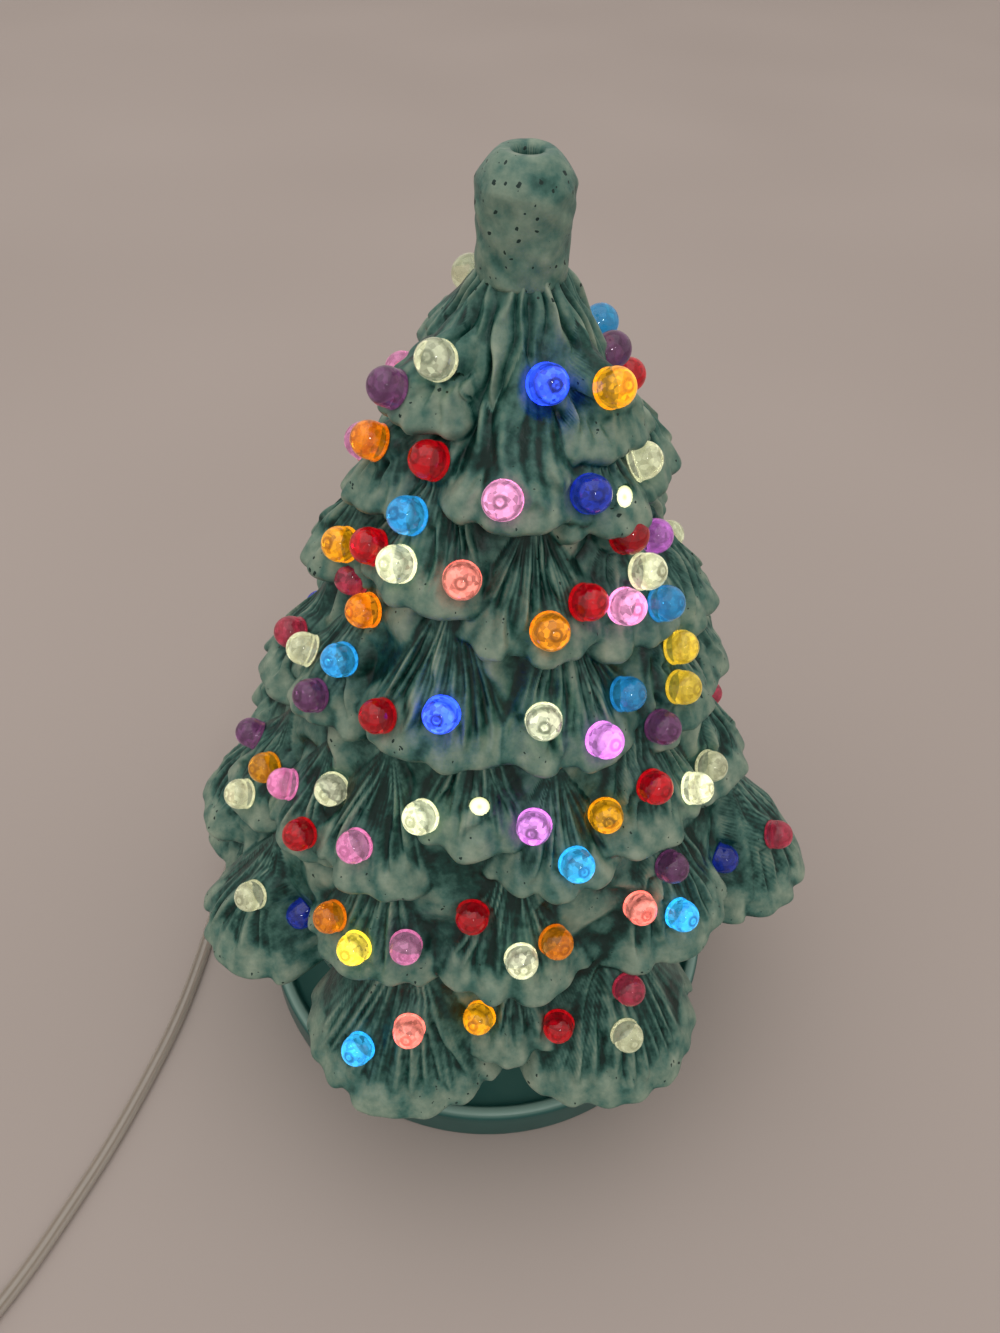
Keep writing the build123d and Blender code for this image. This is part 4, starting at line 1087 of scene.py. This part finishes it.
def globe_plastic(colour):
    """Clear tinted acrylic, moulded: glossy and see-through, lit from its pin, whose end shows as a ring."""
    tint = linear(BULB_COLOURS[colour])
    material, tree, shader = finish_of(f"moulded_acrylic_{colour}", Base_Color=tint, Roughness=0.04,
                                       IOR=1.49, Transmission_Weight=0.7, Emission_Color=tint)
    middle = add(tree, "Attribute", {"attribute_name": "middle"}).outputs["Fac"]
    rings = add(tree, "ValToRGB", stops=[(0.0, "#b8b8b8"), (0.14, "#ffffff"), (0.24, "#6a6a6a"),
                                         (0.32, "#707070"), (0.42, "#f4f4f4"), (0.75, "#ffffff"),
                                         (0.90, "#8c8c8c"), (1.0, "#d8d8d8")], Fac=middle)
    place = add(tree, "TexCoord").outputs["Object"]
    # Cells about a facet's size paint sparkle into the glow: painted glints.
    glint_cells = add(tree, "TexVoronoi", Vector=place, Scale=per_metre(FACET_MM))
    sparkle = add(tree, "MapRange", Value=glint_cells.outputs["Color"], From_Min=0.15, From_Max=0.85, To_Min=0.35,
                  To_Max=1.5)
    glow = add(tree, "Attribute", {"attribute_name": "glow"}).outputs["Fac"]
    cut = add(tree, "Math", {"operation": "MULTIPLY"}, _0=rings.outputs["Color"], _1=sparkle.outputs[0])
    power = add(tree, "Math", {"operation": "MULTIPLY"}, _0=cut.outputs[0], _1=glow)
    tree.links.new(power.outputs[0], shader.inputs["Emission Strength"])
    return material


for colour, places in bulbs.items():
    shapes, middles = bulb_surfaces(places)
    glow = glow_of(places, draw)
    node = f"bulbs_{colour}"
    make_piece(f"globes_{colour}", list(shapes), "tree", globe_plastic(colour), node, [node],
               glow=[np.full(shape.shape[:2], value) for shape, value in zip(shapes, glow)],
               middle=[middles] * len(shapes))

# %% [markdown]
# ## Lamp, socket, switch and plug
# A small lamp on a clip-in socket lights the tree, and a thumbwheel on the cord switches it. These could be
# modelled again, but their solids are right, so they only get the finish of their materials: brass, spring
# steel, glass and moulded plastics. Fine noise keeps each from looking like one flat colour.


# %% Plain finishes
def plain_finish(name, colour, worn, roughness, size_mm, metallic=0.0, through=0.0):
    """A moulded, pressed or drawn material whose colour and gloss drift a little over size_mm."""
    material, tree, shader = finish_of(name, Metallic=metallic, Transmission_Weight=through)
    place = add(tree, "TexCoord").outputs["Object"]
    cloud = add(tree, "TexNoise", Vector=place, Scale=per_metre(size_mm), Detail=3.0,
                Roughness=0.55).outputs["Fac"]
    tint = add(tree, "ValToRGB", stops=[(0.3, colour), (0.7, worn)], Fac=cloud)
    tree.links.new(tint.outputs["Color"], shader.inputs["Base Color"])
    uneven = add(tree, "MapRange", Value=cloud, To_Min=roughness * 0.8, To_Max=roughness * 1.25)
    tree.links.new(uneven.outputs[0], shader.inputs["Roughness"])
    return material


# Brass is warm and bright, spring steel cooler and duller. Ivory and cream plastics have a soft even sheen,
# vitrite is black glass, and blown glass shows what is behind it. Soft PVC is nearly matt, and clear vinyl
# is cloudy and takes up the colour of the wires inside.
brass = plain_finish("drawn_brass", "#b5893f", "#c9a357", 0.28, 3.0, metallic=1.0)
steel = plain_finish("spring_steel", "#8d8f90", "#a3a5a6", 0.3, 2.0, metallic=1.0)
ivory = plain_finish("moulded_ivory_plastic", "#d9d3c2", "#e3decf", 0.35, 4.0)
cream = plain_finish("moulded_cream_abs", "#cfc8b6", "#d8d2c2", 0.3, 5.0)
vitrite = plain_finish("black_vitrite", "#141416", "#202024", 0.2, 2.0)
glass = plain_finish("blown_glass", "#f4f1e8", "#f8f6f0", 0.04, 10.0, through=1.0)
tie_plastic = plain_finish("soft_white_pvc", "#d8d8d2", "#e2e2dc", 0.45, 2.0)
plug_vinyl = plain_finish("moulded_clear_vinyl", "#b8a88f", "#c4b59d", 0.3, 6.0, through=0.2)


def hot_tungsten():
    """Tungsten wire at a warm white heat."""
    return finish_of("hot_tungsten", Base_Color=linear("#6e6a64"), Metallic=1.0,
                     Emission_Color=linear("#ffd9a0"), Emission_Strength=40.0)[0]


FINISHES = {"socket_sleeve": ivory, "socket_screw_shell": brass, "socket_contact": brass,
            "socket_clips": steel, "lamp_button": steel, "lamp_insulator": vitrite, "lamp_cap": brass,
            "lamp_glass": glass, "lamp_stem": glass, "lamp_filament": hot_tungsten(),
            "coil_tie": tie_plastic, "switch_lower": cream, "switch_upper": cream, "switch_wheel": ivory,
            "switch_screw": steel, "plug_body": plug_vinyl, "plug_blades": brass}
for node, material in FINISHES.items():
    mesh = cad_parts[node].data
    mesh.materials.clear()
    mesh.materials.append(material)
print("finished nodes", len(FINISHES))

# %% [markdown]
# ## Floor and light
# The tree stands on a plain warm grey table under soft light from above. One wide lamp and an even room
# light give that, and one small lamp at the front adds the glints on the glaze and the bulbs.

# %% Floor
FLOOR_SIZE = 8.0
DRIFT_MM = 400.0


def floor_paint():
    """Matt warm grey paint with the faintest drift of tone."""
    material, tree, shader = finish_of("matt_warm_grey_paint", Roughness=0.85)
    place = add(tree, "TexCoord").outputs["Object"]
    cloud = add(tree, "TexNoise", Vector=place, Scale=per_metre(DRIFT_MM), Detail=1.0, Roughness=0.55)
    tint = add(tree, "ValToRGB", stops=[(0.3, "#a99f99"), (0.7, "#aea49e")], Fac=cloud.outputs["Fac"])
    tree.links.new(tint.outputs["Color"], shader.inputs["Base Color"])
    return material


floor_mesh = bpy.data.meshes.new("floor")
half = FLOOR_SIZE / 2
corners = [(-half, -half, 0), (half, -half, 0), (half, half, 0), (-half, half, 0)]
floor_mesh.from_pydata(corners, [], [(0, 1, 2, 3)])
floor = bpy.data.objects.new("floor", floor_mesh)
floor_mesh.materials.append(floor_paint())
bpy.context.scene.collection.objects.link(floor)
print("floor", FLOOR_SIZE, "m wide")

# %% Light
OVERHEAD_WATTS = 14.5
GLINT_WATTS = 1.0
ROOM_STRENGTH = 0.72


def soft_light(name, place, target, size, watts):
    """A square soft light at a place, in metres, tilted and turned so that it faces a target."""
    data = bpy.data.lights.new(name, "AREA")
    data.size = size
    data.energy = watts
    light = bpy.data.objects.new(name, data)
    bpy.context.scene.collection.objects.link(light)
    toward = np.array(target) - np.array(place)
    light.location = place
    light.rotation_euler = (math.acos(-toward[2] / np.linalg.norm(toward)), 0,
                            math.atan2(toward[1], toward[0]) + math.pi / 2 + math.pi)
    print(name, "light", watts, "W")


soft_light("overhead", (-0.3, 0.0, 2.2), (0, 0, 0.1), 2.6, OVERHEAD_WATTS)
soft_light("glint", (0.25, -0.9, 1.0), (0, 0, 0.15), 0.1, GLINT_WATTS)
world = bpy.data.worlds.new("room")
world.use_nodes = True
room = world.node_tree.nodes["Background"]
room.inputs["Color"].default_value = linear("#fff6f0")
room.inputs["Strength"].default_value = ROOM_STRENGTH
bpy.context.scene.world = world
bpy.context.scene.view_settings.view_transform = "Standard"
